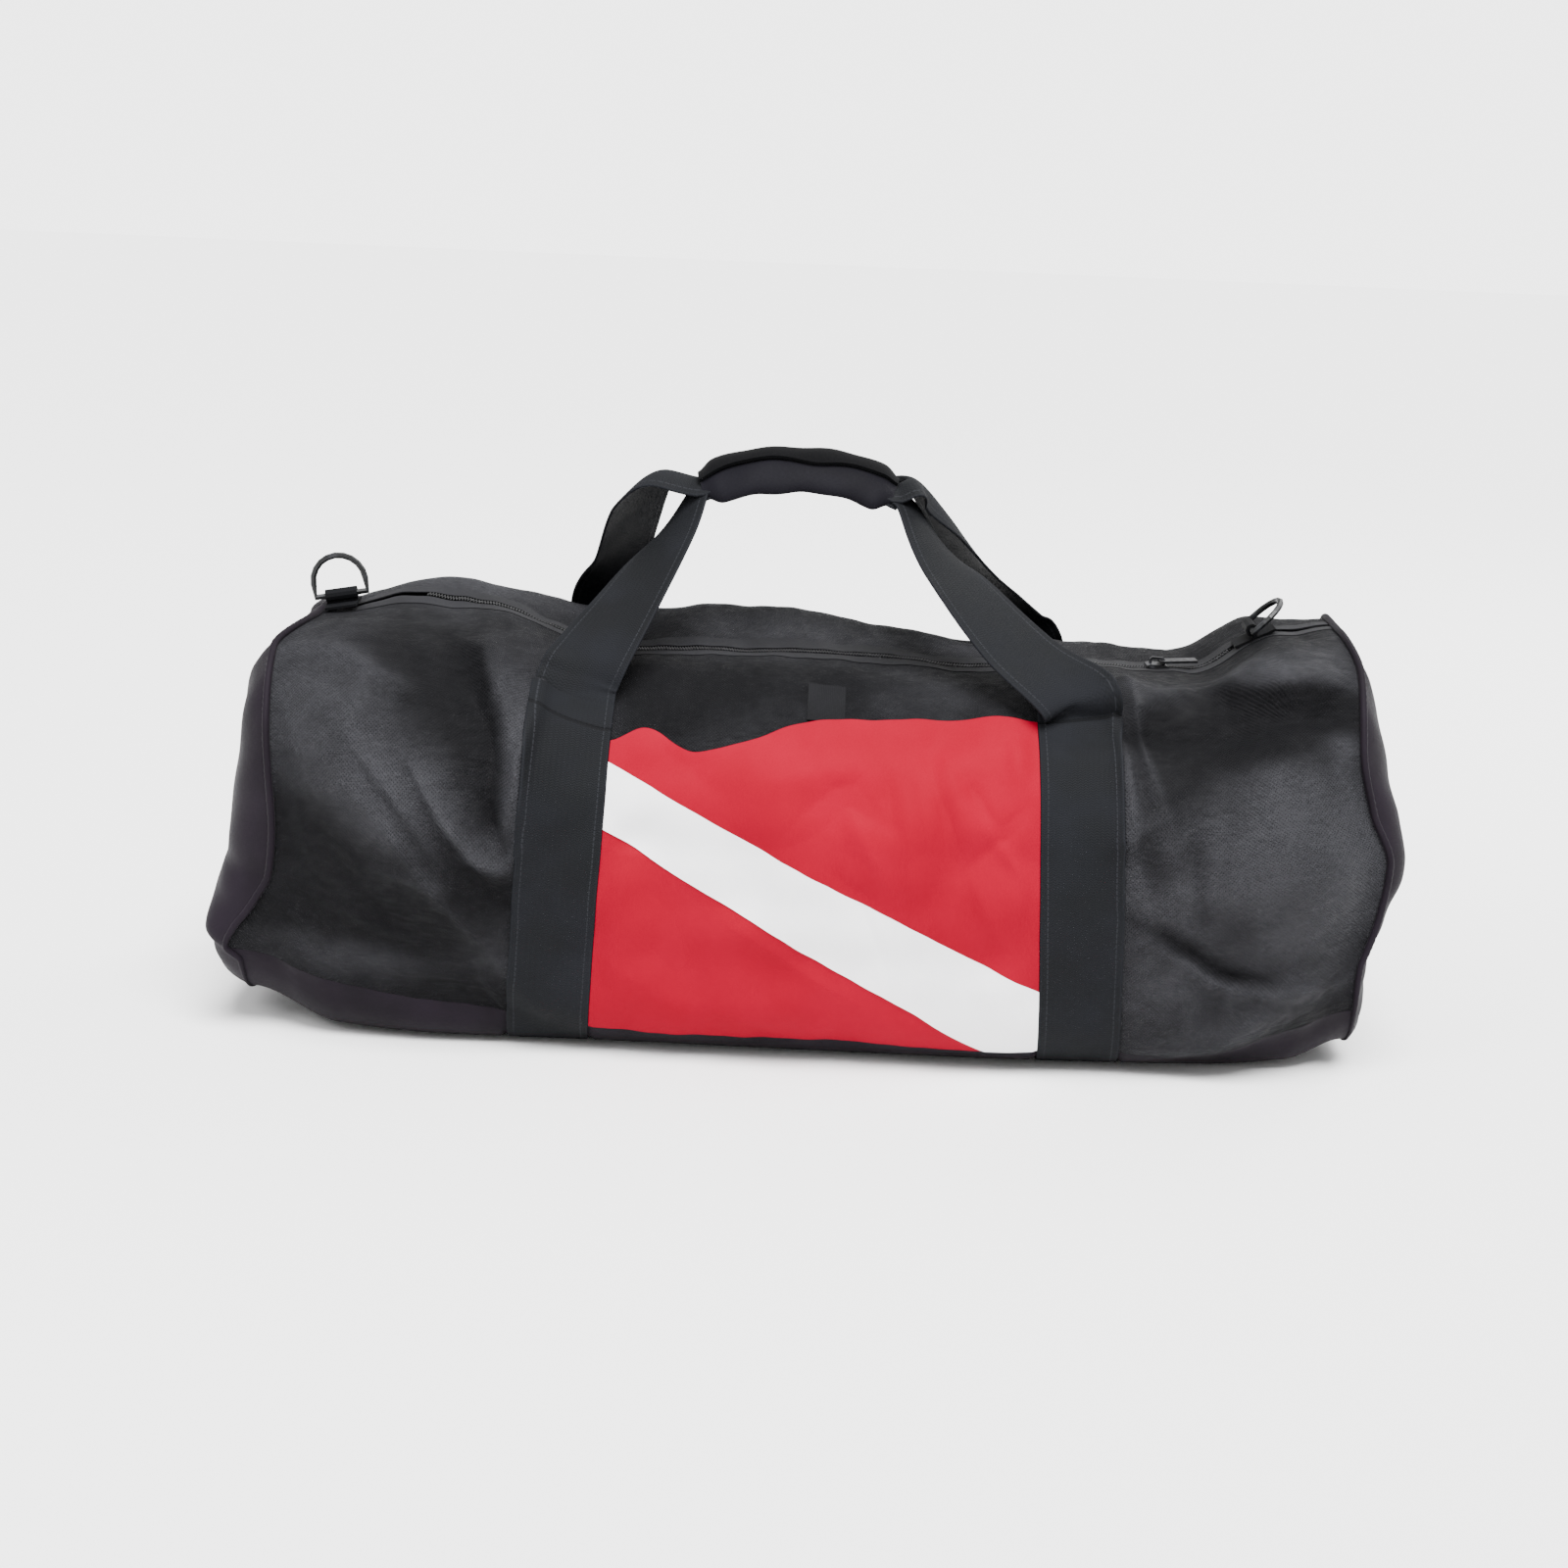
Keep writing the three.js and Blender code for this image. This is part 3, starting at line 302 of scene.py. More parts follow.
CREASES = (
    Crease((-326, 233), (-284, 235), 5.0, 3.2, 0.4),
    Crease((-284, 235), (-254, 224), 5.0, 3.5, 0.4),
    Crease((-254, 224), (-222, 220), 5.0, 2.6, 0.4),
    Crease((-271, 217), (-276, 194), 4.0, 3.2),
    Crease((-270, 185), (-244, 158), 5.0, 4.6, -0.7),
    Crease((-244, 158), (-226, 132), 5.0, 3.5, -0.7),
    Crease((-234, 174), (-215, 144), 5.0, 5.2, -0.8),
    Crease((-215, 144), (-197, 123), 5.0, 6.4, -0.8),
    Crease((-197, 123), (-181, 118), 5.0, 5.8, -0.6),
    Crease((-183, 117), (-174, 128), 4.0, 3.8),
    Crease((-227, 248), (-210, 225), 9.0, -5.1),
    Crease((-205, 228), (-190, 193), 9.0, -6.5),
    Crease((-190, 193), (-189, 153), 8.0, -5.8),
    Crease((-189, 153), (-180, 128), 6.0, -4.3),
    Crease((-218, 248), (-201, 241), 4.0, 2.6),
    Crease((-201, 241), (-189, 218), 4.0, 2.3),
    Crease((-187, 225), (-176, 232), 3.0, 2.9),
    Crease((-166, 207), (-173, 180), 5.0, 4.6),
    Crease((-173, 180), (-181, 146), 4.5, 4.1),
    Crease((-318, 84), (-301, 71), 3.5, 2.3),
    Crease((-281, 87), (-245, 72), 4.0, 2.6),
    Crease((-251, 113), (-219, 106), 4.0, 2.3),
    Crease((-192, 47), (-181, 25), 4.0, 2.6),
    Crease((-188, 108), (-178, 96), 6.0, -2.9),
    Crease((-236, 51), (-188, 39), 9.0, 2.3),
    Crease((-322, 210), (-308, 183), 4.5, 3.2),
    Crease((-323, 172), (-322, 129), 7.0, -4.3),
    Crease((-307, 163), (-276, 158), 8.0, 2.3),
    Crease((-289, 129), (-259, 93), 9.0, -2.9),
    Crease((-165, 240), (-164, 214), 4.0, 2.0),
    Crease((172, 238), (200, 231), 3.5, 3.5),
    Crease((200, 224), (222, 230), 3.5, 3.5),
    Crease((222, 230), (252, 234), 4.0, 3.2, -0.5),
    Crease((252, 234), (291, 241), 6.0, 4.6, -0.8),
    Crease((291, 241), (334, 238), 6.0, 4.6, -0.8),
    Crease((250, 233), (266, 244), 3.5, 3.2),
    Crease((178, 233), (189, 204), 4.0, 4.1),
    Crease((189, 204), (193, 174), 4.0, 3.5),
    Crease((195, 225), (201, 197), 4.5, 4.6),
    Crease((201, 197), (213, 169), 4.5, 3.8),
    Crease((185, 223), (195, 185), 3.5, -2.6),
    Crease((259, 228), (296, 229), 10.0, -4.3),
    Crease((296, 229), (333, 225), 9.0, -4.3),
    Crease((267, 214), (283, 208), 9.0, -3.2),
    Crease((307, 214), (330, 204), 6.0, 3.2),
    Crease((188, 152), (202, 161), 4.0, 3.2),
    Crease((199, 153), (207, 124), 9.0, -4.6),
    Crease((198, 104), (226, 89), 7.0, -4.3),
    Crease((226, 89), (255, 71), 6.0, -4.3),
    Crease((255, 71), (279, 66), 5.0, -3.5),
    Crease((224, 81), (252, 65), 3.5, 4.1, 0.6),
    Crease((252, 65), (281, 59), 3.5, 4.3, 0.6),
    Crease((281, 59), (317, 61), 4.0, 3.2, 0.4),
    Crease((232, 144), (237, 112), 6.0, -3.8),
    Crease((247, 161), (241, 128), 5.0, 2.3),
    Crease((332, 63), (347, 73), 4.0, 3.5),
    Crease((340, 61), (348, 46), 4.0, -3.5),
    Crease((331, 164), (348, 146), 5.0, 3.5),
    Crease((277, 167), (296, 132), 12.0, 2.3),
    Crease((300, 184), (321, 143), 10.0, 2.3),
    Crease((191, 48), (215, 42), 7.0, 2.6),
    Crease((273, 248), (315, 258), 8.0, 1.7),
    Crease((210, 159), (220, 130), 8.0, 2.6),
    Crease((206, 223), (238, 217), 8.0, 2.3),
)

# Painted light and shade on the mesh front: pale patches where the cloth is lit, dark patches where it
# lies in shade
LIGHT_PATCHES = (
    LightPatch((-289, 129), (36, 26), -7.5),
    LightPatch((-231, 119), (32, 21), -6.8),
    LightPatch((-192, 108), (25, 16), -4.5),
    LightPatch((-307, 163), (16, 27), -4.5),
    LightPatch((-206, 215), (10, 38), -6.0),
    LightPatch((-313, 222), (16, 16), 3.8),
    LightPatch((-273, 209), (23, 21), 3.8),
    LightPatch((-224, 174), (19, 27), 4.5),
    LightPatch((-190, 134), (11, 12), 5.2),
    LightPatch((-171, 191), (9, 37), 4.5),
    LightPatch((-251, 50), (74, 15), 14.0),
    LightPatch((-208, 92), (30, 20), -8.0),
    LightPatch((-290, 62), (40, 10), 6.0),
    LightPatch((-316, 64), (25, 7), 3.0),
    LightPatch((-262, 248), (37, 10), 0.8),
    LightPatch((-101, 223), (22, 25), -4.5),
    LightPatch((-51, 228), (37, 19), -6.8),
    LightPatch((18, 230), (31, 19), -3.8),
    LightPatch((60, 221), (25, 11), 2.2),
    LightPatch((-81, 205), (19, 9), -3.8),
    LightPatch((273, 247), (68, 10), 6.0),
    LightPatch((295, 158), (30, 38), 2.5),
    LightPatch((321, 209), (9, 25), 3.8),
    LightPatch((214, 61), (56, 11), 3.8),
    LightPatch((211, 142), (27, 34), -7.0),
    LightPatch((250, 212), (37, 15), -5.2),
    LightPatch((308, 229), (27, 7), -6.0),
    LightPatch((186, 186), (11, 37), 1.5),
    LightPatch((259, 101), (25, 14), -3.8),
    LightPatch((224, 185), (19, 19), -2.2),
    LightPatch((271, 188), (22, 15), 2.2),
    LightPatch((199, 99), (19, 15), -3.0),
    LightPatch((300, 94), (25, 16), 1.5),
)


def painted_light_at(table: Sequence[LightPatch], x: np.ndarray, z: np.ndarray) -> np.ndarray:
    """How much paler the cloth is painted at places of the front: painted light where this is above 0,
    painted shade where it is below.

    Args:
        table: the patches.
        x: places along the bag, in metres.
        z: heights of the places, in metres.

    Returns:
        The height of folds that would be as pale, in metres.
    """
    total = np.zeros(np.broadcast(x, z).shape)
    for tone in table:
        wide = (x / MM - tone.middle[0]) / tone.size[0]
        high = (z / MM - tone.middle[1]) / tone.size[1]
        total += tone.strength * MM * np.exp(-(wide**2) - high**2)
    return total


# How far a crease runs out past its ends, how high it is there, how much a lean does to its
# flanks and how sharp its ridge is
CREASE_END_FADE = 0.3
CREASE_END_RISE = 0.65
CREASE_LEAN = 0.6
CREASE_POWER = 1.6


def crease_height(table: Sequence[Crease], x: np.ndarray, z: np.ndarray) -> np.ndarray:
    """The height of a table of creases over the front.

    Args:
        table: the creases.
        x: places along the bag, in metres.
        z: heights of the places, in metres.

    Returns:
        The height of the cloth over its smooth skin there, in metres.
    """
    total = np.zeros(np.broadcast(x, z).shape)
    for crease in table:
        start = np.array(crease.start) * MM
        way = np.array(crease.end) * MM - start
        length = float(np.linalg.norm(way))
        way = way / length
        along = (x - start[0]) * way[0] + (z - start[1]) * way[1]
        across = (z - start[1]) * way[0] - (x - start[0]) * way[1]
        fade = CREASE_END_FADE * length + crease.wide * MM
        past = np.maximum(0.0, np.maximum(-along, along - length)) / fade
        lean = CREASE_LEAN * crease.lean
        flank = crease.wide * MM * np.where(across > 0, 1.0 - lean, 1.0 + lean)
        swell = np.sin(math.pi * np.clip(along / length, 0.0, 1.0))
        middle = swell * (1.0 - CREASE_END_RISE) + CREASE_END_RISE
        total += crease.rise * MM * middle * np.exp(-np.abs(across / flank) ** CREASE_POWER - past**2)
    return total


@dataclass
class Skin:
    """The bag's outer surface, in metres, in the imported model's own frame.

    The pairs of numbers say between which two values of a normal's part something fades.
    """

    seam_length: float = 680 * MM
    depth: float = 286 * MM
    height: float = 244 * MM
    top_radius: float = 88 * MM
    bottom_radius: float = 46 * MM
    fold_rise: float = 14 * MM
    web_width: float = 50 * MM
    web_thickness: float = 1.8 * MM
    strap_spacing: float = 330 * MM
    strap_shift: float = 4 * MM
    strap_lean: float = 14 * MM
    strap_ease: float = 4 * MM
    back_lean: float = 13 * MM
    back_shift: float = -7 * MM
    sewn_gap: float = 0.3 * MM
    base_seam: float = 0.345
    lift_off: float = 0.105
    tape_width: float = 14 * MM
    coil_width: float = 6 * MM
    swell_rise: float = 1.3 * MM
    swell_size: float = 75 * MM
    small_swell_size: float = 26 * MM
    small_swell_share: float = 0.35
    front_from: tuple[float, float] = (-0.15, 0.25)
    folds_from: tuple[float, float] = (-0.97, -0.45)
    groove_from: tuple[float, float] = (0.3, 0.95)
    flat_end: float = 0.08
    normal_step: float = 0.003
    offset: np.ndarray = field(default_factory=lambda: np.zeros(3))

    def __post_init__(self) -> None:
        """Works out the places of straps and seams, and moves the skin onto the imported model."""
        self.half = self.seam_length / 2
        self.half_depth = self.depth / 2
        corners = (4 - math.pi) * (self.top_radius + self.bottom_radius)
        self.girth = 2 * (self.depth + self.height) - corners
        self.strap_outer = (self.strap_spacing / 2 + self.web_width / 2) / self.half
        self.strap_inner = (self.strap_spacing / 2 - self.web_width / 2) / self.half
        self.tape_edge = self.tape_width / self.girth
        self.coil_edge = (self.coil_width / 2 + self.sewn_gap) / self.girth
        places = [row.at for row in SECTIONS]
        self.column = {
            name: Column(places, [getattr(row, name) for row in SECTIONS])
            for name in ("depth", "height", "lift", "zip", "belly")
        }
        heights = [row.height for row in END_SEAMS]
        self.left_seam = Column(heights, [row.left for row in END_SEAMS])
        self.right_seam = Column(heights, [row.right for row in END_SEAMS])
        self.swells = Ripple(self.swell_size, seed=11)
        self.small_swells = Ripple(self.small_swell_size, seed=23)
        self.stand_on_frame()

    def stand_on_frame(self) -> None:
        """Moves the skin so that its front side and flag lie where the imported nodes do."""
        low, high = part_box("mesh_front")
        at, turn = np.meshgrid(np.linspace(-1, 1, 161), np.linspace(self.tape_edge, self.base_seam, 61))
        points = self.smooth_skin(at, turn).reshape(-1, 3)
        own = (points.min(0) + points.max(0)) / 2
        self.offset = np.array((Vector(low) + Vector(high)) / 2) - own
        flag_low, flag_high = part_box("flag_panel")
        side = self.strap_inner - self.sewn_gap / self.half
        edges = self.place_x(np.array([-side, side]), np.full(2, self.base_seam))
        self.offset[0] = (flag_low[0] + flag_high[0]) / 2 - edges.mean()

    def outline(self, at: np.ndarray, turn: np.ndarray) -> tuple[np.ndarray, ...]:
        """The cross-section's point and outward normal.

        Args:
            at: places along the bag.
            turn: places round it.

        Returns:
            y, z and the normal's y and z.
        """
        side = np.where(turn <= 0.5, -1.0, 1.0)
        half = self.half_depth * self.column["depth"](at)
        lift = self.height * self.column["lift"](at)
        tall = self.height * self.column["height"](at) - lift
        zip_at = self.half_depth * self.column["zip"](at)
        wall = (tall - self.top_radius - self.bottom_radius) / 2
        top = half - self.top_radius - side * zip_at
        bottom = half - self.bottom_radius
        quarters = 4 * np.where(side < 0, turn, 1 - turn)
        arc, low_arc = self.top_radius * math.pi / 2, self.bottom_radius * math.pi / 2
        upper, lower = top + arc + wall, wall + low_arc + bottom

        way = np.clip(quarters, 0, 1) * upper
        angle = np.clip((way - top) / self.top_radius, 0, math.pi / 2)
        past = np.maximum(0.0, way - top - arc)
        shoulder_y = half - self.top_radius + self.top_radius * np.sin(angle)
        shoulder_z = tall - self.top_radius + self.top_radius * np.cos(angle) - past
        flat = way < top
        upper_y = np.where(flat, side * zip_at + way, shoulder_y)
        upper_z = np.where(flat, tall, shoulder_z)
        upper_turn = np.where(flat, 0.0, angle)

        down_way = np.clip(quarters - 1, 0, 1) * lower
        down = np.clip((down_way - wall) / self.bottom_radius, 0, math.pi / 2)
        under = np.maximum(0.0, down_way - wall - low_arc)
        lower_y = half - self.bottom_radius + self.bottom_radius * np.cos(down) - under
        lower_z = self.bottom_radius + wall - np.minimum(down_way, wall)
        lower_z = lower_z - self.bottom_radius * np.sin(down)
        lower_turn = math.pi / 2 + down

        is_top = quarters < 1
        y = np.where(is_top, upper_y, lower_y)
        z = np.where(is_top, upper_z, lower_z)
        angle = np.where(is_top, upper_turn, lower_turn)
        belly = self.half_depth * self.column["belly"](at)
        y = y + belly * np.sin(math.pi * z / tall) ** 2
        return side * y, z + lift, side * np.sin(angle), np.cos(angle)

    def place_x(self, at: np.ndarray, turn: np.ndarray) -> np.ndarray:
        """X of a place, straight between the end seams and the edges of the straps.

        Args:
            at: places along the bag.
            turn: places round it.

        Returns:
            X in metres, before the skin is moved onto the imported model.
        """
        height = (1 + np.cos(2 * math.pi * turn)) / 2
        from_zip = np.where(turn > 0.5, 1 - turn, 0.0)
        pulled = ease(from_zip, 0, self.lift_off) * (1 - ease(from_zip, self.lift_off, self.base_seam))
        out = self.strap_spacing / 2 - self.strap_lean * height - self.back_lean * pulled
        middle = self.strap_shift + self.back_shift * pulled
        edge = self.web_width / 2
        ends = [-1, -self.strap_outer, -self.strap_inner, self.strap_inner, self.strap_outer, 1]
        xs = [
            -self.half * self.left_seam(height),
            middle - out - edge,
            middle - out + edge,
            middle + out - edge,
            middle + out + edge,
            self.half * self.right_seam(height),
        ]
        x = np.zeros(np.broadcast(at, turn).shape)
        for i in range(5):
            share = (at - ends[i]) / (ends[i + 1] - ends[i])
            inside = (at >= ends[i] - 1e-9) if i else np.ones_like(x, bool)
            x = np.where(inside, xs[i] + (xs[i + 1] - xs[i]) * share, x)
        return x

    def fold_height(self, at: np.ndarray, turn: np.ndarray) -> np.ndarray:
        """How far the main folds push the skin out.

        Args:
            at: places along the bag.
            turn: places round it.

        Returns:
            A height in metres for each place.
        """
        total = np.zeros(np.broadcast(at, turn).shape)
        for fold in FOLDS:
            apart = turn - fold.turn
            along = (at - fold.at) * self.half
            across = (apart - np.round(apart)) * self.girth
            angle = math.radians(fold.angle)
            length = along * math.cos(angle) + across * math.sin(angle)
            width = across * math.cos(angle) - along * math.sin(angle)
            in_length = (length / (fold.long * self.height)) ** 2
            in_width = np.abs(width / (fold.wide * self.height)) ** fold.sharp
            total += fold.rise * self.fold_rise * np.exp(-in_length - in_width)
        return total

    def rise(self, at: np.ndarray, turn: np.ndarray) -> np.ndarray:
        """How far folds and creases stand out, with the painted light and shade patches of the front
        added; the mesh finish paints light and shade from it.

        Args:
            at: places along the bag.
            turn: places round it.

        Returns:
            A height in metres for each place.
        """
        points = self.smooth_skin(at, turn)
        front = ease(-self.outline(at, turn)[2], *self.front_from)
        creases = crease_height(CREASES, points[..., 0], points[..., 2])
        # The painted light and shade patches, added to the rise
        painted_patches = painted_light_at(LIGHT_PATCHES, points[..., 0], points[..., 2])
        return self.fold_height(at, turn) + (creases + painted_patches) * front

    def smooth_skin(self, at: Numbers, turn: Numbers, fine: float = 0.0) -> np.ndarray:
        """Points of the skin.

        Args:
            at: places along the bag.
            turn: places round it.
            fine: how much of the creases and small swells is added, from 0 to 1.

        Returns:
            One point for each place.
        """
        at, turn = np.broadcast_arrays(np.asarray(at, float), np.asarray(turn, float) % 1.0)
        y, z, ny, nz = self.outline(at, turn)
        x = self.place_x(at, turn)
        free = ease(nz, *self.folds_from) * ease(1 - np.abs(at), 0, self.flat_end)
        push = free * self.fold_height(at, turn)
        if fine:
            rough = np.stack([x, y, z], -1)
            small = self.small_swell_share * self.small_swells(rough)
            lumps = self.swell_rise * (self.swells(rough) + small)
            front = ease(-ny, *self.front_from)
            creases = crease_height(CREASES, x + self.offset[0], z + self.offset[2]) * front
            push = push + fine * free * (lumps + creases)
        push = push - self.groove(at, nz)
        return np.stack([x, y + push * ny, z + push * nz], -1) + self.offset

    def groove(self, at: np.ndarray, nz: np.ndarray) -> np.ndarray:
        """How deep the straps press into the base.

        Args:
            at: places along the bag.
            nz: how far the skin's normal points up there.

        Returns:
            A depth in metres for each place.
        """
        middle = (self.strap_inner + self.strap_outer) / 2
        edge = np.abs(np.abs(at) - middle) * self.half - self.web_width / 2
        under = 1 - ease(edge, 0.0, self.strap_ease)
        return under * (self.web_thickness + self.sewn_gap) * ease(-nz, *self.groove_from)

    def normal(self, at: Numbers, turn: Numbers, fine: float = 0.0) -> np.ndarray:
        """Outward normals of the skin.

        Args:
            at: places along the bag.
            turn: places round it.
            fine: how much of the creases and small swells is added, from 0 to 1.

        Returns:
            One normal for each place.
        """
        step = self.normal_step
        a = np.clip(at, -1 + step, 1 - step)
        along = self.smooth_skin(a + step, turn, fine) - self.smooth_skin(a - step, turn, fine)
        around = self.smooth_skin(at, turn + step, fine) - self.smooth_skin(at, turn - step, fine)
        return unit(np.cross(around, along))

    def point(self, at: Numbers, turn: Numbers, raised: Numbers = 0.0, fine: float = 1.0) -> np.ndarray:
        """Points raised from the skin.

        Args:
            at: places along the bag.
            turn: places round it.
            raised: the height over the skin, in metres, one for all or one for each place.
            fine: how much of the creases and small swells is added.

        Returns:
            One point for each place.
        """
        height = np.asarray(raised, float)[..., None]
        return self.smooth_skin(at, turn, fine) + self.normal(at, turn, fine) * height


# Materials


class Coordinates(Enum):
    """What a pattern of a finish is laid out on."""

    CLOTH = "cloth"
    OBJECT = "object"


class NodeBench:
    """Lays out one material's nodes, with short names for the usual ones."""

    def __init__(self, name: str) -> None:
        """Starts a material that has only a shader and an output.

        Args:
            name: the material's name.
        """
        self.material = bpy.data.materials.new(name)
        self.material.use_nodes = True
        self.tree = self.material.node_tree
        self.tree.nodes.clear()
        self.shader = self.tree.nodes.new("ShaderNodeBsdfPrincipled")
        self.output = self.tree.nodes.new("ShaderNodeOutputMaterial")
        self.tree.links.new(self.shader.outputs[0], self.output.inputs[0])

    def put(self, socket: Socket, value: Socket | Color | float | None) -> None:
        """Links a socket to another one, or sets it to a plain value.

        Args:
            socket: the socket that is set.
            value: the other socket or the value, or None to leave it alone.
        """
        if isinstance(value, Socket):
            self.tree.links.new(value, socket)
        elif value is not None:
            socket.default_value = value

    def coordinates(self, kind: Coordinates) -> Socket:
        """The coordinates that a pattern is laid out on.

        Args:
            kind: which ones.

        Returns:
            Their socket.
        """
        if kind is Coordinates.CLOTH:
            node = self.tree.nodes.new("ShaderNodeUVMap")
            node.uv_map = UV_NAME
            return node.outputs["UV"]
        return self.tree.nodes.new("ShaderNodeTexCoord").outputs["Object"]

    def painted(self, name: str) -> Socket:
        """A number that was stored at the surface's points.

        Args:
            name: the name that it was stored under.

        Returns:
            Its socket.
        """
        node = self.tree.nodes.new("ShaderNodeAttribute")
        node.attribute_name = name
        return node.outputs["Fac"]

    def math(
        self, kind: str, a: Socket | float, b: Socket | float | None = None, clamp: bool = False
    ) -> Socket:
        """One step of arithmetic.

        Args:
            kind: the operation's name.
            a: the first number or socket.
            b: the second number or socket, if there is one.
            clamp: whether the result is kept from 0 to 1.

        Returns:
            The result's socket.
        """
        node = self.tree.nodes.new("ShaderNodeMath")
        node.operation = kind
        node.use_clamp = clamp
        self.put(node.inputs[0], a)
        self.put(node.inputs[1], b)
        return node.outputs[0]

    def split(self, vector: Socket) -> tuple[Socket, ...]:
        """The numbers of a vector.

        Args:
            vector: the vector's socket.

        Returns:
            The sockets of its x, y and z.
        """
        node = self.tree.nodes.new("ShaderNodeSeparateXYZ")
        self.put(node.inputs[0], vector)
        return tuple(node.outputs)

    def noise(
        self,
        vector: Socket,
        size: float,
        detail: float = 3.0,
        stretch: tuple[float, float, float] = (1, 1, 1),
    ) -> Socket:
        """Soft noise.

        Args:
            vector: the coordinates, in metres.
            size: the usual size of a spot, in metres.
            detail: how many finer layers it has.
            stretch: how the coordinates are scaled along each axis first.

        Returns:
            A number from 0 to 1.
        """
        mapping = self.tree.nodes.new("ShaderNodeMapping")
        mapping.inputs["Scale"].default_value = stretch
        self.put(mapping.inputs["Vector"], vector)
        node = self.tree.nodes.new("ShaderNodeTexNoise")
        node.inputs["Scale"].default_value = 1.0 / size
        node.inputs["Detail"].default_value = detail
        self.put(node.inputs["Vector"], mapping.outputs[0])
        return node.outputs[0]

    def wave(self, along: Socket, pitch: float) -> Socket:
        """A ridge of height 0 to 1 every pitch metres.

        Args:
            along: the coordinate that the ridges follow each other on.
            pitch: the distance between two ridges, in metres.

        Returns:
            The height's socket.
        """
        turned = self.math("MULTIPLY", along, math.pi / pitch)
        return self.math("ABSOLUTE", self.math("SINE", turned))

    def remap(
        self, value: Socket, low: float, high: float, to_low: float = 0.0, to_high: float = 1.0
    ) -> Socket:
        """A smooth step of a value.

        Args:
            value: the socket that is read.
            low: where the step starts.
            high: where it ends.
            to_low: the result at its start.
            to_high: the result at its end.

        Returns:
            The result's socket.
        """
        node = self.tree.nodes.new("ShaderNodeMapRange")
        node.interpolation_type = "SMOOTHSTEP"
        steps = (("From Min", low), ("From Max", high), ("To Min", to_low), ("To Max", to_high))
        for name, number in steps:
            node.inputs[name].default_value = number
        self.put(node.inputs["Value"], value)
        return node.outputs[0]

    def blend(self, share: Socket | float, first: Socket | Color, second: Socket | Color) -> Socket:
        """A mix of two colours.

        Args:
            share: how much of the second colour there is.
            first: the first colour or its socket.
            second: the second colour or its socket.

        Returns:
            The colour's socket.
        """
        node = self.tree.nodes.new("ShaderNodeMix")
        node.data_type = "RGBA"
        self.put(node.inputs[0], share)
        self.put(node.inputs[6], first)
        self.put(node.inputs[7], second)
        return node.outputs[2]

    def bump(
        self, height: Socket, depth: float, strength: float = 1.0, under: Socket | None = None
    ) -> Socket:
        """A bump on the surface.

        Args:
            height: the height's socket, from 0 to 1.
            depth: how high 1 stands, in metres.
            strength: how much of it shows.
            under: the normal of a bump below this one.

        Returns:
            The normal's socket.
        """
        node = self.tree.nodes.new("ShaderNodeBump")
        node.inputs["Strength"].default_value = strength
        node.inputs["Distance"].default_value = depth
        self.put(node.inputs["Height"], height)
        self.put(node.inputs["Normal"], under)
        return node.outputs[0]

    def set(self, **values: Socket | Color | float) -> None:
        """Sets the shader's sockets, named with _ for a space."""
        for name, value in values.items():
            self.put(self.shader.inputs[name.replace("_", " ")], value)


def linear(hexed: str, strength: float = 1.0) -> Color:
    """A colour for a shader.

    Args:
        hexed: the colour as six hexadecimal digits.
        strength: scales its light.

    Returns:
        Its red, green, blue and alpha.
    """
    parts = [int(hexed[i : i + 2], 16) / 255 for i in (0, 2, 4)]
    light = [p / 12.92 if p <= 0.04045 else ((p + 0.055) / 1.055) ** 2.4 for p in parts]
    return (*(strength * p for p in light), 1.0)


# Where most of a noise lies, and how far a step along the diagonal goes along an edge
NOISE = (0.3, 0.7)
DIAGONAL = math.sqrt(0.5)


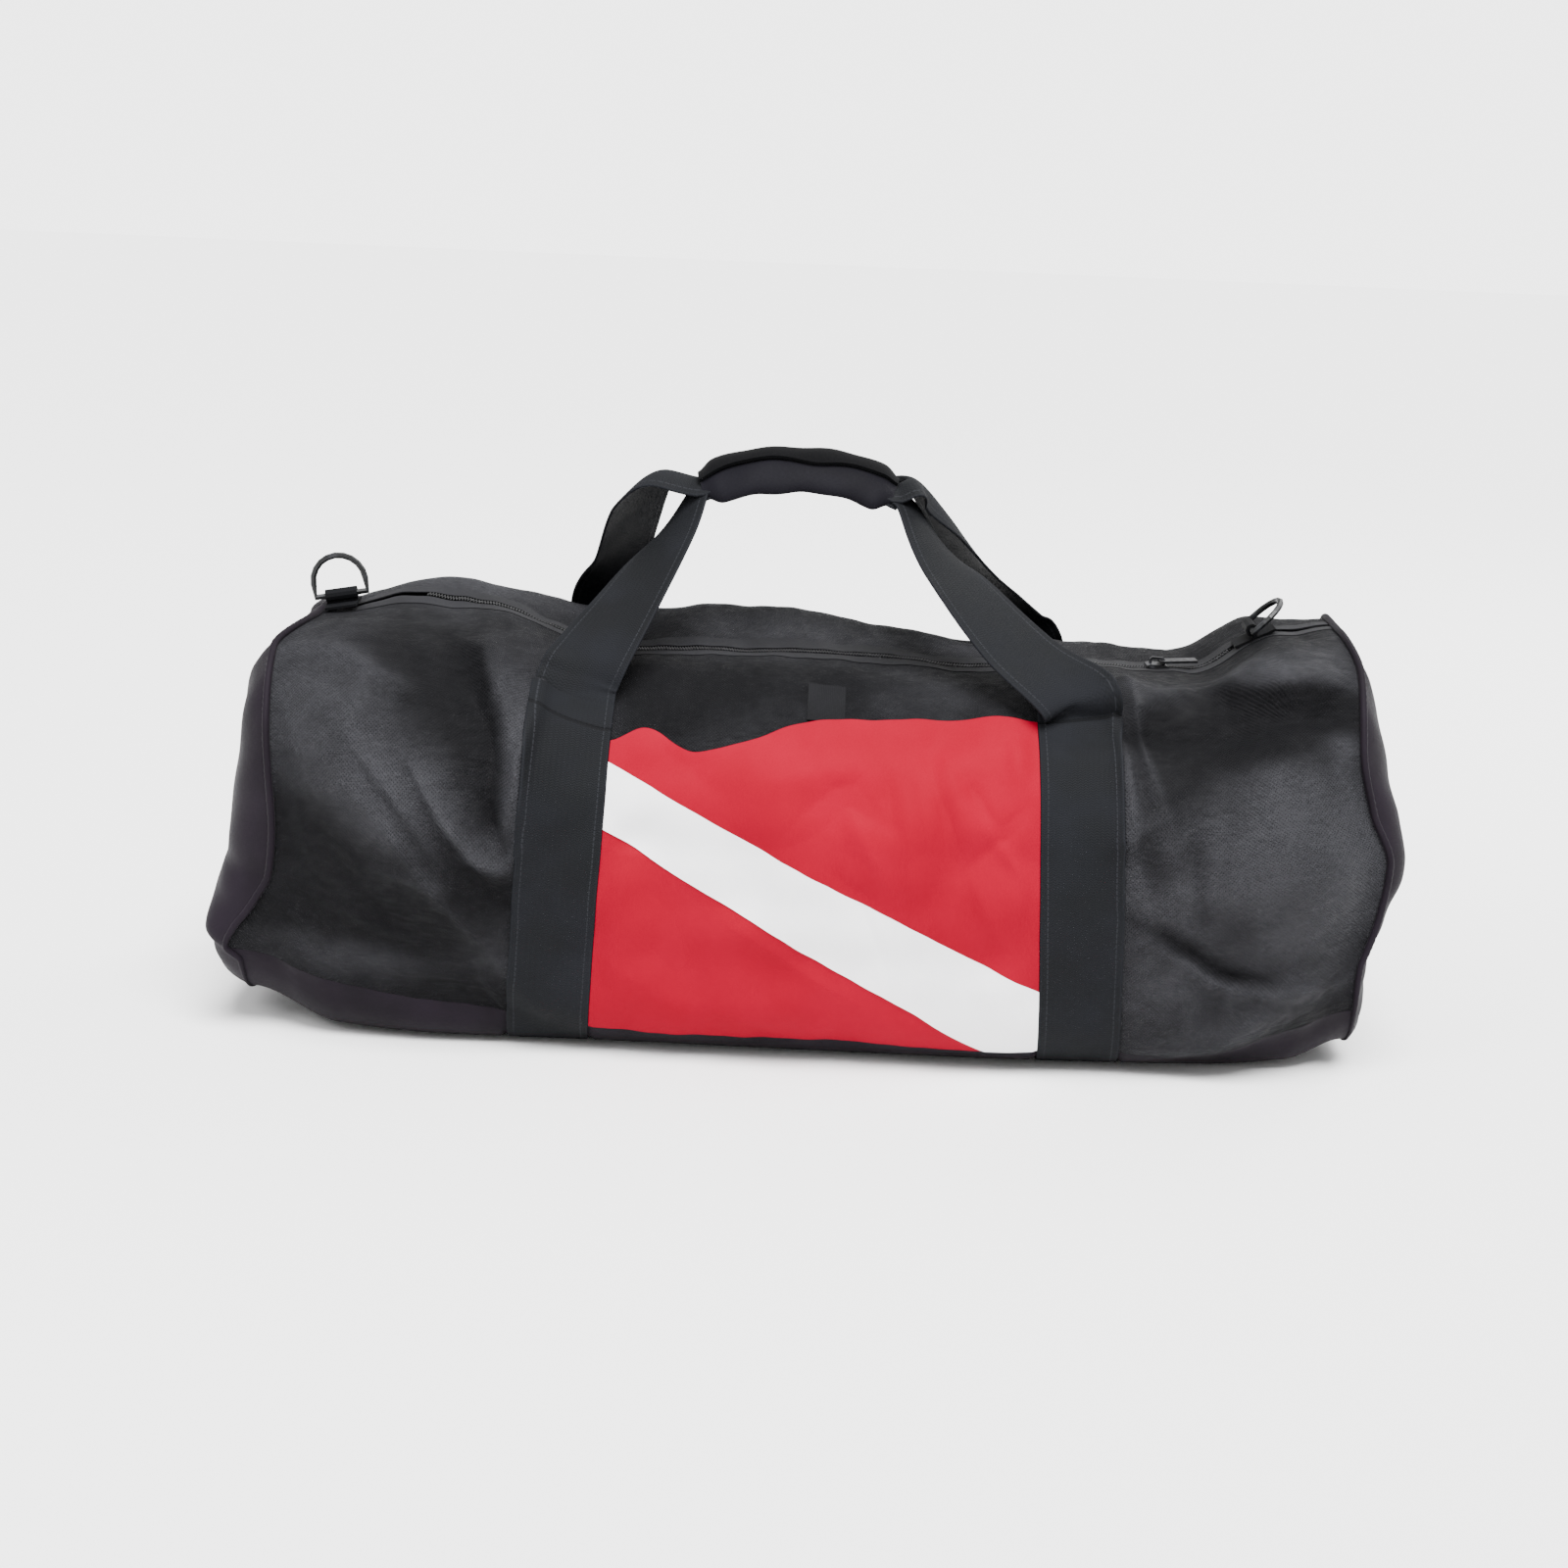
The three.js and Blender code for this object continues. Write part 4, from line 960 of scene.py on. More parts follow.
@dataclass(frozen=True)
class MeshFinish:
    """Coated open mesh with small square holes, which lets the inside show through.

    It is painted paler where it stands out and darker where it sinks, as painted light and shade, by
    the number that is stored on its points; random patches and threads vary it too.
    """

    name: str = "coated_mesh"
    thread: str = "0a0a0c"
    # The pale colour of the painted light on raised cloth
    painted_light_color: str = "2b2b2e"
    pitch: float = 1.5 * MM
    hole: float = 0.2
    hole_edge: float = 0.03
    open: float = 0.4
    thread_rise: float = 0.3 * MM
    # The rise that goes from painted shade to painted light, the noise that breaks it up and that
    # noise's spot size
    rubbed_and_lit: tuple[float, float] = (-6 * MM, 13 * MM)
    painted_light_mix: float = 9 * MM
    painted_light_spot: float = 24 * MM
    patch: float = 40 * MM
    patch_light: tuple[float, float] = (0.7, 1.15)
    warp: float = 3.2 * MM
    weft: float = 2.4 * MM
    thread_light: tuple[float, float] = (0.7, 1.3)
    crinkle: float = 3.0 * MM
    crinkle_size: float = 11 * MM
    roughness: tuple[float, float] = (0.56, 0.72)
    gloss_spot: float = 9 * MM
    shine: float = 0.07

    def build(self) -> bpy.types.Material:
        """Makes the material.

        Returns:
            The material.
        """
        bench = NodeBench(self.name)
        cloth = bench.coordinates(Coordinates.CLOTH)
        u, v, _ = bench.split(cloth)
        parts = []
        for kind in ("ADD", "SUBTRACT"):
            part = bench.math("MULTIPLY", bench.math(kind, u, v), DIAGONAL / self.pitch)
            cell = bench.math("SUBTRACT", bench.math("FRACT", part), 0.5)
            parts.append(bench.math("ABSOLUTE", cell))
        far = bench.math("MAXIMUM", *parts)
        edge = (self.hole - self.hole_edge, self.hole + self.hole_edge)
        normal = bench.bump(bench.remap(far, self.hole, 0.5), self.thread_rise, 0.9)
        crinkles = bench.noise(cloth, self.crinkle_size, 6, (1, 2, 1))
        # The base colour is painted light and shade: thread colour in the hollows, pale where the cloth
        # stands out
        bench.set(
            Base_Color=bench.blend(self.worn_and_lit(bench, cloth), linear(self.thread), linear(self.painted_light_color)),
            Roughness=bench.remap(bench.noise(cloth, self.gloss_spot), *NOISE, *self.roughness),
            Specular_IOR_Level=self.shine,
            Alpha=bench.remap(far, *edge, 1.0 - self.open, 1.0),
            Normal=bench.bump(crinkles, self.crinkle, 0.8, normal),
        )
        return bench.material

    def worn_and_lit(self, bench: NodeBench, cloth: Socket) -> Socket:
        """How far the cloth is painted pale: painted light where it stands out and painted shade where
        it sinks, with random patches and threads.

        Args:
            bench: the material's bench.
            cloth: the coordinates on the cloth.

        Returns:
            A number from 0 to 1.
        """
        # Painted light and shade from the stored rise, broken up by noise
        rough = bench.math("SUBTRACT", bench.noise(cloth, self.painted_light_spot, 7), 0.5)
        mixed = bench.math("MULTIPLY", rough, self.painted_light_mix)
        raised = bench.remap(bench.math("ADD", bench.painted(LIGHT_RISE_NAME), mixed), *self.rubbed_and_lit)
        spots = bench.remap(bench.noise(cloth, self.patch, 6), *NOISE, *self.patch_light)
        warp = bench.remap(bench.noise(cloth, self.warp, 2, (1, 5, 1)), *NOISE, *self.thread_light)
        weft = bench.remap(bench.noise(cloth, self.weft, 2, (5, 1, 1)), *NOISE, *self.thread_light)
        fine = bench.math("MULTIPLY", warp, weft)
        return bench.math("MULTIPLY", bench.math("MULTIPLY", raised, spots), fine, clamp=True)


@dataclass(frozen=True)
class NylonFinish:
    """Woven coated nylon, with threads, painted shade between them, soft colour changes and paler worn
    spots.
    """

    name: str
    color: str
    worn_color: str
    pitch: float = 0.55 * MM
    roughness: float = 0.62
    sheen: float = 0.02
    shine: float = 0.12
    wear: float = 0.5
    relief: float = 0.1 * MM
    weave_share: float = 0.65
    twill: float = 1.6
    fade_spot: float = 55 * MM
    slub: float = 2.2 * MM
    slub_light: float = 0.25
    # How dark the painted shade between the threads is
    between: float = 0.35
    dimple: float = 0.5 * MM
    dimple_size: float = 7 * MM

    def build(self) -> bpy.types.Material:
        """Makes the material.

        Returns:
            The material.
        """
        bench = NodeBench(self.name)
        cloth = bench.coordinates(Coordinates.CLOTH)
        u, v, _ = bench.split(cloth)
        weave = bench.math("MULTIPLY", bench.wave(u, self.pitch), bench.wave(v, self.pitch))
        weave = bench.math("MULTIPLY", weave, self.weave_share)
        twill = bench.wave(bench.math("ADD", u, v), self.pitch * self.twill)
        threads = bench.math("ADD", weave, bench.math("MULTIPLY", twill, 1.0 - self.weave_share))
        broad = bench.noise(bench.coordinates(Coordinates.OBJECT), self.fade_spot, 4)
        slub = bench.noise(cloth, self.slub, 3, (1, 6, 1))
        worn_and_lit = linear(self.worn_color)
        tone = bench.blend(bench.remap(broad, 0.35, 0.7, 0.0, self.wear), linear(self.color), worn_and_lit)
        tone = bench.blend(bench.math("MULTIPLY", slub, self.slub_light), tone, worn_and_lit)
        # Painted shade: the colour is darkened between the threads
        shade_between_threads = bench.blend(self.between, tone, (0, 0, 0, 1))
        normal = bench.bump(threads, self.relief, 0.7)
        normal = bench.bump(bench.noise(cloth, self.dimple_size, 4), self.dimple, 0.5, normal)
        bench.set(
            Base_Color=bench.blend(bench.remap(threads, 0.0, 0.5), shade_between_threads, tone),
            Roughness=bench.remap(slub, 0.2, 0.8, self.roughness - 0.08, self.roughness + 0.1),
            Specular_IOR_Level=self.shine,
            Sheen_Weight=self.sheen,
            Sheen_Roughness=0.45,
            Normal=normal,
        )
        return bench.material


@dataclass(frozen=True)
class WebbingFinish:
    """Flat woven webbing: slanting ribs, close edges and a row of stitches near each edge.

    A bar of stitches crosses it where the number that is painted on its points is near 0.
    """

    name: str = "webbing"
    color: str = "0f1012"
    rib_color: str = "18191d"
    rib: float = 1.5 * MM
    rib_share: float = 0.7
    zigzag: float = 1.6 * MM
    slant: float = 0.6
    cord: float = 0.8 * MM
    weave_rise: float = 0.3 * MM
    half_width: float = 25 * MM
    edge: tuple[float, float] = (1.6 * MM, 0.2 * MM)
    fade_spot: float = 40 * MM
    stitch_row: float = 20.5 * MM
    stitch_length: float = 3.4 * MM
    stitch_width: float = 0.55 * MM
    stitch_rise: float = 0.35 * MM
    stitch_color: str = "1d1e21"
    bar_width: float = 1.5 * MM
    bar_depth: float = 0.6 * MM
    bar_share: float = 0.6
    bar_color: str = "060607"
    roughness: tuple[float, float] = (0.65, 0.8)
    shine: float = 0.07

    def build(self) -> bpy.types.Material:
        """Makes the material.

        Returns:
            The material.
        """
        bench = NodeBench(self.name)
        cloth = bench.coordinates(Coordinates.CLOTH)
        u, v, _ = bench.split(cloth)
        out = bench.math("ABSOLUTE", u)
        zigzag = bench.math("MULTIPLY", bench.math("PINGPONG", u, self.zigzag), self.slant)
        rib = bench.math("MULTIPLY", bench.wave(bench.math("ADD", v, zigzag), self.rib), self.rib_share)
        cord = bench.math("MULTIPLY", bench.wave(u, self.cord), 1.0 - self.rib_share)
        height = bench.math("ADD", rib, cord)
        row = bench.math("ABSOLUTE", bench.math("SUBTRACT", out, self.stitch_row))
        in_row = bench.remap(row, self.stitch_width, self.stitch_width * 0.5)
        dash = bench.math("FRACT", bench.math("MULTIPLY", v, 1.0 / self.stitch_length))
        dash = bench.remap(bench.math("ABSOLUTE", bench.math("SUBTRACT", dash, 0.5)), 0.42, 0.36)
        stitch = bench.math("MULTIPLY", in_row, dash)
        from_bar = bench.math("ABSOLUTE", bench.painted(ROW_NAME))
        bar = bench.remap(from_bar, self.bar_width, self.bar_width * 0.4)
        broad = bench.noise(bench.coordinates(Coordinates.OBJECT), self.fade_spot, 4)
        edge = bench.remap(out, *(self.half_width - inset for inset in self.edge))
        rib_color = linear(self.rib_color)
        # Painted shade: the colour is darker in the grooves between the ribs
        color = bench.blend(bench.remap(height, 0.1, 0.8), linear(self.color, 0.7), linear(self.color))
        color = bench.blend(bench.remap(broad, 0.35, 0.75, 0.0, 0.55), color, rib_color)
        color = bench.blend(bench.math("MULTIPLY", edge, 0.5), color, rib_color)
        color = bench.blend(stitch, color, linear(self.stitch_color))
        color = bench.blend(bench.math("MULTIPLY", bar, self.bar_share), color, linear(self.bar_color))
        normal = bench.bump(height, self.weave_rise, 0.8)
        normal = bench.bump(bench.math("SUBTRACT", 1.0, bar), self.bar_depth, 0.7, normal)
        normal = bench.bump(in_row, self.stitch_rise, 0.5, normal)
        bench.set(
            Base_Color=color,
            Roughness=bench.remap(broad, *NOISE, *self.roughness),
            Specular_IOR_Level=self.shine,
            Normal=normal,
        )
        return bench.material


@dataclass(frozen=True)
class HardFinish:
    """Painted metal or moulded plastic, with fine grain and paler rubbed places."""

    name: str
    color: str
    rubbed_and_lit: str
    roughness: float
    shine: float = 0.5
    grain: float = 0.03 * MM
    grain_size: float = 0.8 * MM
    rub_spot: float = 6 * MM
    gloss_spot: float = 2 * MM

    def build(self) -> bpy.types.Material:
        """Makes the material.

        Returns:
            The material.
        """
        bench = NodeBench(self.name)
        body = bench.coordinates(Coordinates.OBJECT)
        rub = bench.remap(bench.noise(body, self.rub_spot, 5), 0.5, 0.72)
        gloss = bench.noise(body, self.gloss_spot)
        bench.set(
            Base_Color=bench.blend(rub, linear(self.color), linear(self.rubbed_and_lit)),
            Specular_IOR_Level=self.shine,
            Roughness=bench.remap(gloss, *NOISE, self.roughness - 0.06, self.roughness + 0.1),
            Normal=bench.bump(bench.noise(body, self.grain_size), self.grain, 0.5),
        )
        return bench.material


@dataclass(frozen=True)
class FloorFinish:
    """The pale floor."""

    name: str = "pale_floor"
    color: str = "f2f2f2"
    roughness: float = 0.9

    def build(self) -> bpy.types.Material:
        """Makes the material.

        Returns:
            The material.
        """
        bench = NodeBench(self.name)
        bench.set(Base_Color=linear(self.color), Roughness=self.roughness)
        return bench.material


@dataclass
class Wardrobe:
    """Every finish of the bag, each made once."""

    mesh: MeshFinish = MeshFinish()
    cloth: NylonFinish = NylonFinish("dark_nylon", "0e0a0f", "1c161e", shine=0.06)
    grip: NylonFinish = NylonFinish("grip_nylon", "09080c", "111016", pitch=0.7 * MM, shine=0.05)
    hook: NylonFinish = NylonFinish(
        "hook_strip", "0a0a0c", "141417", pitch=1.1 * MM, relief=0.4 * MM, roughness=0.85
    )
    lap: NylonFinish = NylonFinish(
        "lap_nylon", "040405", "09090b", pitch=0.7 * MM, roughness=0.8, shine=0.04
    )
    red: NylonFinish = NylonFinish(
        "flag_red", "80001b", "8e0022", pitch=0.5 * MM, sheen=0.0, shine=0.03
    )
    white: NylonFinish = NylonFinish("flag_white", "f2f2f4", "fafafb", pitch=0.5 * MM)
    webbing: WebbingFinish = WebbingFinish()
    tape: NylonFinish = NylonFinish("zip_tape", "0e0e10", "1c1c20", pitch=0.9 * MM, relief=0.2 * MM)
    coil: HardFinish = HardFinish("zip_coil", "0c0c0e", "1a1a1d", 0.38, shine=0.3)
    metal: HardFinish = HardFinish("black_metal", "0b0b0d", "2c2c30", 0.36, shine=0.45)
    plastic: HardFinish = HardFinish("ring_plastic", "0c0d0e", "1d1e21", 0.42, shine=0.3)

    def __post_init__(self) -> None:
        """Starts with no material made."""
        self.made: dict[str, bpy.types.Material] = {}

    def material(self, name: str) -> bpy.types.Material:
        """The material of a finish, made when it is first asked for.

        Args:
            name: the name of the finish's field.

        Returns:
            The material.
        """
        if name not in self.made:
            self.made[name] = getattr(self, name).build()
        return self.made[name]


# Making pieces


def paint(obj: Piece, name: str, values: np.ndarray) -> None:
    """Stores one number at each point of a surface, for its finish to read."""
    layer = obj.data.attributes.new(name, "FLOAT", "POINT")
    layer.data.foreach_set("value", np.ascontiguousarray(values, np.float32).ravel())


def only(obj: Piece) -> None:
    """Makes one object the only one selected, and the active one.

    Args:
        obj: the object.
    """
    bpy.ops.object.select_all(action="DESELECT")
    obj.hide_set(False)
    obj.select_set(True)
    bpy.context.view_layer.objects.active = obj


def loft(
    name: str, points: np.ndarray, uvs: np.ndarray, closed: bool = False, ring: bool = False
) -> Piece:
    """A surface through a grid of points, with a UV map in metres.

    Args:
        name: the piece's name.
        points: rows of points, (rows, columns, 3).
        uvs: the place of each point on the cloth, (rows, columns, 2), one column more where
            the rows close on themselves.
        closed: whether each row closes on itself.
        ring: whether the last row joins the first one.

    Returns:
        The new object.
    """
    rows, columns = points.shape[:2]
    far = rows if ring else rows - 1
    wide = columns if closed else columns - 1
    i, j = np.meshgrid(np.arange(far), np.arange(wide), indexing="ij")
    i, j = i.ravel(), j.ravel()
    i2, j2 = (i + 1) % rows, (j + 1) % columns
    quads = np.stack([i * columns + j, i2 * columns + j, i2 * columns + j2, i * columns + j2], 1)
    mesh = bpy.data.meshes.new(name)
    mesh.from_pydata(points.reshape(-1, 3).tolist(), [], quads.tolist())
    layer = mesh.uv_layers.new(name=UV_NAME)
    u1, u2 = i + 1, j + 1
    if uvs.shape[0] == rows:
        u1 = u1 % rows
    if uvs.shape[1] == columns:
        u2 = u2 % columns
    corner = np.stack([uvs[i, j], uvs[u1, j], uvs[u1, u2], uvs[i, u2]], 1)
    layer.data.foreach_set("uv", corner.astype(np.float32).ravel())
    mesh.update()
    obj = bpy.data.objects.new(name, mesh)
    bpy.context.scene.collection.objects.link(obj)
    return obj


def face_out(obj: Piece, outward: np.ndarray) -> None:
    """Turns a lofted surface round if its faces look against the given ways out.

    Args:
        obj: the surface.
        outward: a way out at each of its points.
    """
    mesh = obj.data
    normals = np.zeros(len(mesh.vertices) * 3)
    mesh.vertices.foreach_get("normal", normals)
    if (normals.reshape(-1, 3) * outward.reshape(-1, 3)).sum() < 0:
        mesh.flip_normals()
        mesh.update()


def thicken(obj: Piece, wall: float) -> None:
    """Gives a sheet its thickness, inwards from the face that it has.

    Args:
        obj: the sheet.
        wall: the thickness, in metres.
    """
    only(obj)
    solid = obj.modifiers.new("wall", "SOLIDIFY")
    solid.thickness = wall
    solid.offset = -1.0
    solid.use_even_offset = False
    bpy.ops.object.modifier_apply(modifier=solid.name)


def smooth(obj: Piece, angle: float = 50.0) -> None:
    """Shades an object smooth, but for edges sharper than an angle in degrees."""
    only(obj)
    bpy.ops.object.shade_smooth_by_angle(angle=math.radians(angle))


def lengths(points: np.ndarray, axis: int) -> np.ndarray:
    """The way along a grid of points, from its start, in metres.

    Args:
        points: the grid.
        axis: 0 along its rows, 1 along its columns.

    Returns:
        The way to each point.
    """
    steps = np.linalg.norm(np.diff(points, axis=axis), axis=-1)
    zero = np.zeros_like(np.take(steps, [0], axis=axis))
    return np.cumsum(np.concatenate([zero, steps], axis=axis), axis=axis)


@dataclass
class Workshop:
    """What every sub-assembly shares: the skin, the finishes and how a piece is handed over."""

    skin: Skin
    wardrobe: Wardrobe

    def hand_over(self, obj: Piece, node: str, slot: str, finish: str) -> None:
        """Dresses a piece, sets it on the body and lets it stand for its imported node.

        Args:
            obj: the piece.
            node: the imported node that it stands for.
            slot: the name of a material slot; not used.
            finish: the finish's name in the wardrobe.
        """
        obj.data.materials.clear()
        obj.data.materials.append(self.wardrobe.material(finish))
        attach(obj, BODY)
        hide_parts(node)
        LOG.info("%s: %d faces", obj.name, len(obj.data.polygons))

    def sheet(self, obj: Piece, points: np.ndarray) -> None:
        """Does nothing: the piece is not declared as a stretched sheet.

        Args:
            obj: the piece; not used.
            points: its grid of points; not used.
        """


def grid(at: np.ndarray, first: Numbers, last: Numbers, rows: int) -> tuple[np.ndarray, np.ndarray]:
    """Places of a piece that is laid on the skin.

    Args:
        at: its columns along the bag.
        first: where it starts round the bag, one place for all or one for each column.
        last: where it ends, in the same way.
        rows: how many points it has round the bag.

    Returns:
        The place along the bag and the place round it for each point, (columns, rows).
    """
    first, last = np.zeros(len(at)) + first, np.zeros(len(at)) + last
    turn = first[:, None] + (last - first)[:, None] * np.linspace(0, 1, rows)
    return np.broadcast_to(at[:, None], turn.shape), turn


# How far each end bulges at a height over its middle, both in millimetres
END_REACH = {
    "left": Column((-100, -70, -50, -28, 6, 50, 94, 110), (30, 28, 24, 26, 27, 20, 16, 13)),
    "right": Column((-103, -78, -56, -28, 0, 31, 62, 94, 112), (10, 7, 7, 11, 19, 22, 18, 11, 9)),
}


@dataclass
class Panels:
    """The mesh sides, the cloth base and the cloth ends."""

    shop: Workshop
    mesh_wall: float = 0.9 * MM
    cloth_wall: float = 1.4 * MM
    end_columns: int = 112
    strap_columns: int = 8
    middle_columns: int = 64
    mesh_rows: int = 150
    base_rows: int = 100
    back_grain: float = 17.0
    base_climb: float = 17 * MM
    end_turns: int = 240
    end_rings: int = 46
    end_rim: float = 0.3
    end_waist: float = 2.4
    end_edge: float = 10.0
    puckers: int = 23
    pucker_rise: float = 0.7 * MM
    end_swell: float = 1.6 * MM
    end_ease: float = 1.05
    end_fill: float = 0.85

    def columns(self) -> np.ndarray:
        """Places along the bag, closest together where no strap or flag covers the cloth.

        Returns:
            The places, from -1 to 1.
        """
        skin = self.shop.skin
        outer, inner = skin.strap_outer, skin.strap_inner
        parts = (
            np.linspace(-1, -outer, self.end_columns, endpoint=False),
            np.linspace(-outer, -inner, self.strap_columns, endpoint=False),
            np.linspace(-inner, inner, self.middle_columns, endpoint=False),
            np.linspace(inner, outer, self.strap_columns, endpoint=False),
            np.linspace(outer, 1, self.end_columns),
        )
        return np.concatenate(parts)

    def strip(self, name: str, start: Numbers, end: Numbers, rows: int) -> tuple[Piece, np.ndarray]:
        """One panel from end seam to end seam.

        Args:
            name: the piece's name.
            start: where it starts round the bag, one place for all or one for each column.
            end: where it ends, in the same way.
            rows: how many points it has round the bag.

        Returns:
            The piece and its grid of points.
        """
        skin = self.shop.skin
        at, turn = grid(self.columns(), start, end, rows)
        points = skin.point(at, turn)
        grain = math.radians(self.back_grain if turn[0, 0] > 0.5 else 0.0)
        along, around = at * skin.half, turn * skin.girth
        u = along * math.cos(grain) - around * math.sin(grain)
        uvs = np.stack([u, along * math.sin(grain) + around * math.cos(grain)], -1)
        obj = loft(name, points, uvs)
        face_out(obj, skin.normal(at, turn))
        # The rise, with the painted light and shade patches, for the mesh finish to paint light and
        # shade from
        paint(obj, LIGHT_RISE_NAME, skin.rise(at, turn))
        return obj, points

    def build(self) -> None:
        """Builds and dresses the five panels."""
        skin = self.shop.skin
        gap = skin.sewn_gap / skin.girth
        seam = skin.base_seam - self.base_climb / skin.girth * ease(-self.columns(), 0.5, 1.0)
        start, end = skin.tape_edge + gap, seam - gap
        for name, first, last in (("mesh_front", start, end), ("mesh_back", 1 - end, 1 - start)):
            obj, points = self.strip(name + "_cloth", first, last, self.mesh_rows)
            thicken(obj, self.mesh_wall)
            smooth(obj)
            self.shop.hand_over(obj, name, "mesh", "mesh")
            self.shop.sheet(obj, points)
        obj, points = self.strip("base_panel_cloth", seam, 1 - seam, self.base_rows)
        thicken(obj, self.cloth_wall)
        smooth(obj)
        self.shop.hand_over(obj, "base_panel", "cloth", "cloth")
        self.shop.sheet(obj, points)
        for side, end_sign in (("left", -1.0), ("right", 1.0)):
            self.end(side, end_sign)

    def end(self, side: str, end_sign: float) -> None:
        """Builds one dished end.

        Args:
            side: left or right.
            end_sign: -1 for the left end and 1 for the right one.
        """
        skin = self.shop.skin
        turn = np.linspace(0, 1, self.end_turns, endpoint=False)
        rim = skin.point(np.full_like(turn, end_sign), turn, -self.end_rim * self.cloth_wall)
        middle = rim.mean(0)
        share = np.concatenate([[0.0], np.linspace(0.04, 1.0, self.end_rings)])[:, None]
        points = middle + (rim - middle)[None] * share[..., None]
        points[..., 0] = middle[0] + (rim[:, 0] - middle[0]) * share**self.end_waist
        reach = END_REACH[side]((points[..., 2] - middle[2]) / MM) * MM
        bulge = reach * (1 - share**self.end_edge) + skin.sewn_gap + self.cloth_wall
        uneven = 2.0 * np.sin(turn * 2 * math.pi * 3)
        pucker = self.pucker_rise * np.sin(turn * 2 * math.pi * self.puckers + uneven)
        bulge = bulge + pucker * ease(share, 0.6, 0.95) * (1 - ease(share, 0.96, 1.0))
        swell = skin.swells(points) * self.end_swell * (1 - share**3)
        points[..., 0] += end_sign * (bulge + swell)
        uvs = np.stack([points[..., 1], points[..., 2]], -1)
        obj = loft(f"end_{side}_cloth", points, uvs, closed=True)
        outward = np.zeros_like(points)
        outward[..., 0] = end_sign
        face_out(obj, outward)
        only(obj)
        bpy.ops.object.mode_set(mode="EDIT")
        bpy.ops.mesh.select_all(action="SELECT")
        bpy.ops.mesh.remove_doubles(threshold=1e-6)
        bpy.ops.object.mode_set(mode="OBJECT")
        thicken(obj, self.cloth_wall)
        smooth(obj)
        self.shop.hand_over(obj, f"end_panel_{side}", "cloth", "cloth")


@dataclass
class Piping:
    """The corded seam round each end."""

    shop: Workshop
    radius: float = 2.3 * MM
    stands_out: float = 0.4
    thin_under: float = 0.35
    thin_from: tuple[float, float] = (0.1, 0.22)
    steps: int = 420
    sides: int = 12
    ridges: int = 190
    ridge_rise: float = 0.06
    seam: float = 0.8

    def build(self) -> None:
        """Builds and dresses both pipings."""
        self.cord("left", -1.0)
        self.cord("right", 1.0)

    def cord(self, side: str, end: float) -> None:
        """Builds and dresses the cord of one end.

        Args:
            side: left or right.
            end: -1 for the left end and 1 for the right one.
        """
        turn = np.linspace(0, 1, self.steps, endpoint=False)
        thin = self.thin_under + (1 - self.thin_under) * ease(np.abs(turn - 0.5), *self.thin_from)
        line = self.shop.skin.point(np.full_like(turn, end), turn, self.radius * thin * self.stands_out)
        along = unit(np.roll(line, -1, 0) - np.roll(line, 1, 0))
        out = line - line.mean(0)
        out = unit(out - (out * along).sum(-1, keepdims=True) * along)
        across = np.cross(along, out)
        angle = np.linspace(0, 2 * math.pi, self.sides, endpoint=False)
        ridge = 1 + self.ridge_rise * np.sin(turn * 2 * math.pi * self.ridges)
        radius = self.radius * (ridge * thin)[:, None]
        points = line[:, None] + (radius * np.cos(angle))[..., None] * out[:, None]
        points = points + (radius * np.sin(angle))[..., None] * across[:, None]
        way = np.linspace(0, 1, self.steps + 1) * self.seam
        round_it = np.linspace(0, 1, self.sides + 1) * 2 * math.pi * self.radius
        uvs = np.stack(np.broadcast_arrays(round_it[None], way[:, None]), -1)
        obj = loft(f"piping_{side}_cord", points, uvs, closed=True, ring=True)
        face_out(obj, points - line[:, None])
        smooth(obj)
        self.shop.hand_over(obj, f"piping_{side}", "cloth", "cloth")


FLAG_CREASES = (
    Crease((-73, 173), (-15, 189), 14.0, 2.6),
    Crease((-5, 150), (21, 172), 9.0, -3.4),
    Crease((21, 172), (41, 160), 7.0, -2.8),
    Crease((-15, 177), (24, 184), 9.0, 2.0),
    Crease((28, 159), (45, 129), 8.0, 2.4),
    Crease((59, 156), (65, 109), 8.0, 2.6),
    Crease((46, 180), (51, 159), 5.0, -1.6),
    Crease((77, 175), (86, 147), 4.0, -2.2),
    Crease((93, 182), (108, 163), 4.0, -2.2),
    Crease((85, 182), (98, 148), 6.0, 1.6),
    Crease((66, 181), (73, 142), 7.0, 1.6),
    Crease((129, 167), (110, 146), 5.0, -2.6),
    Crease((114, 147), (134, 123), 5.0, 2.0),
    Crease((101, 122), (115, 95), 6.0, 1.4),
    Crease((-29, 83), (17, 55), 7.0, 2.0),
    Crease((-100, 111), (-69, 54), 20.0, -2.2),
    Crease((-119, 131), (-95, 129), 6.0, 1.2),
    Crease((37, 104), (45, 82), 5.0, -1.4),
    Crease((100, 73), (104, 31), 8.0, -1.2),
    Crease((107, 64), (127, 32), 10.0, 1.0),
    Crease((23, 122), (41, 108), 6.0, -1.8),
    Crease((92, 137), (106, 89), 16.0, -1.8),
    Crease((-116, 61), (-68, 35), 12.0, 1.4),
    Crease((-80, 187), (-61, 175), 8.0, -1.4),
    Crease((119, 203), (133, 183), 8.0, 1.6),
    Crease((13, 204), (43, 193), 8.0, 1.2),
)


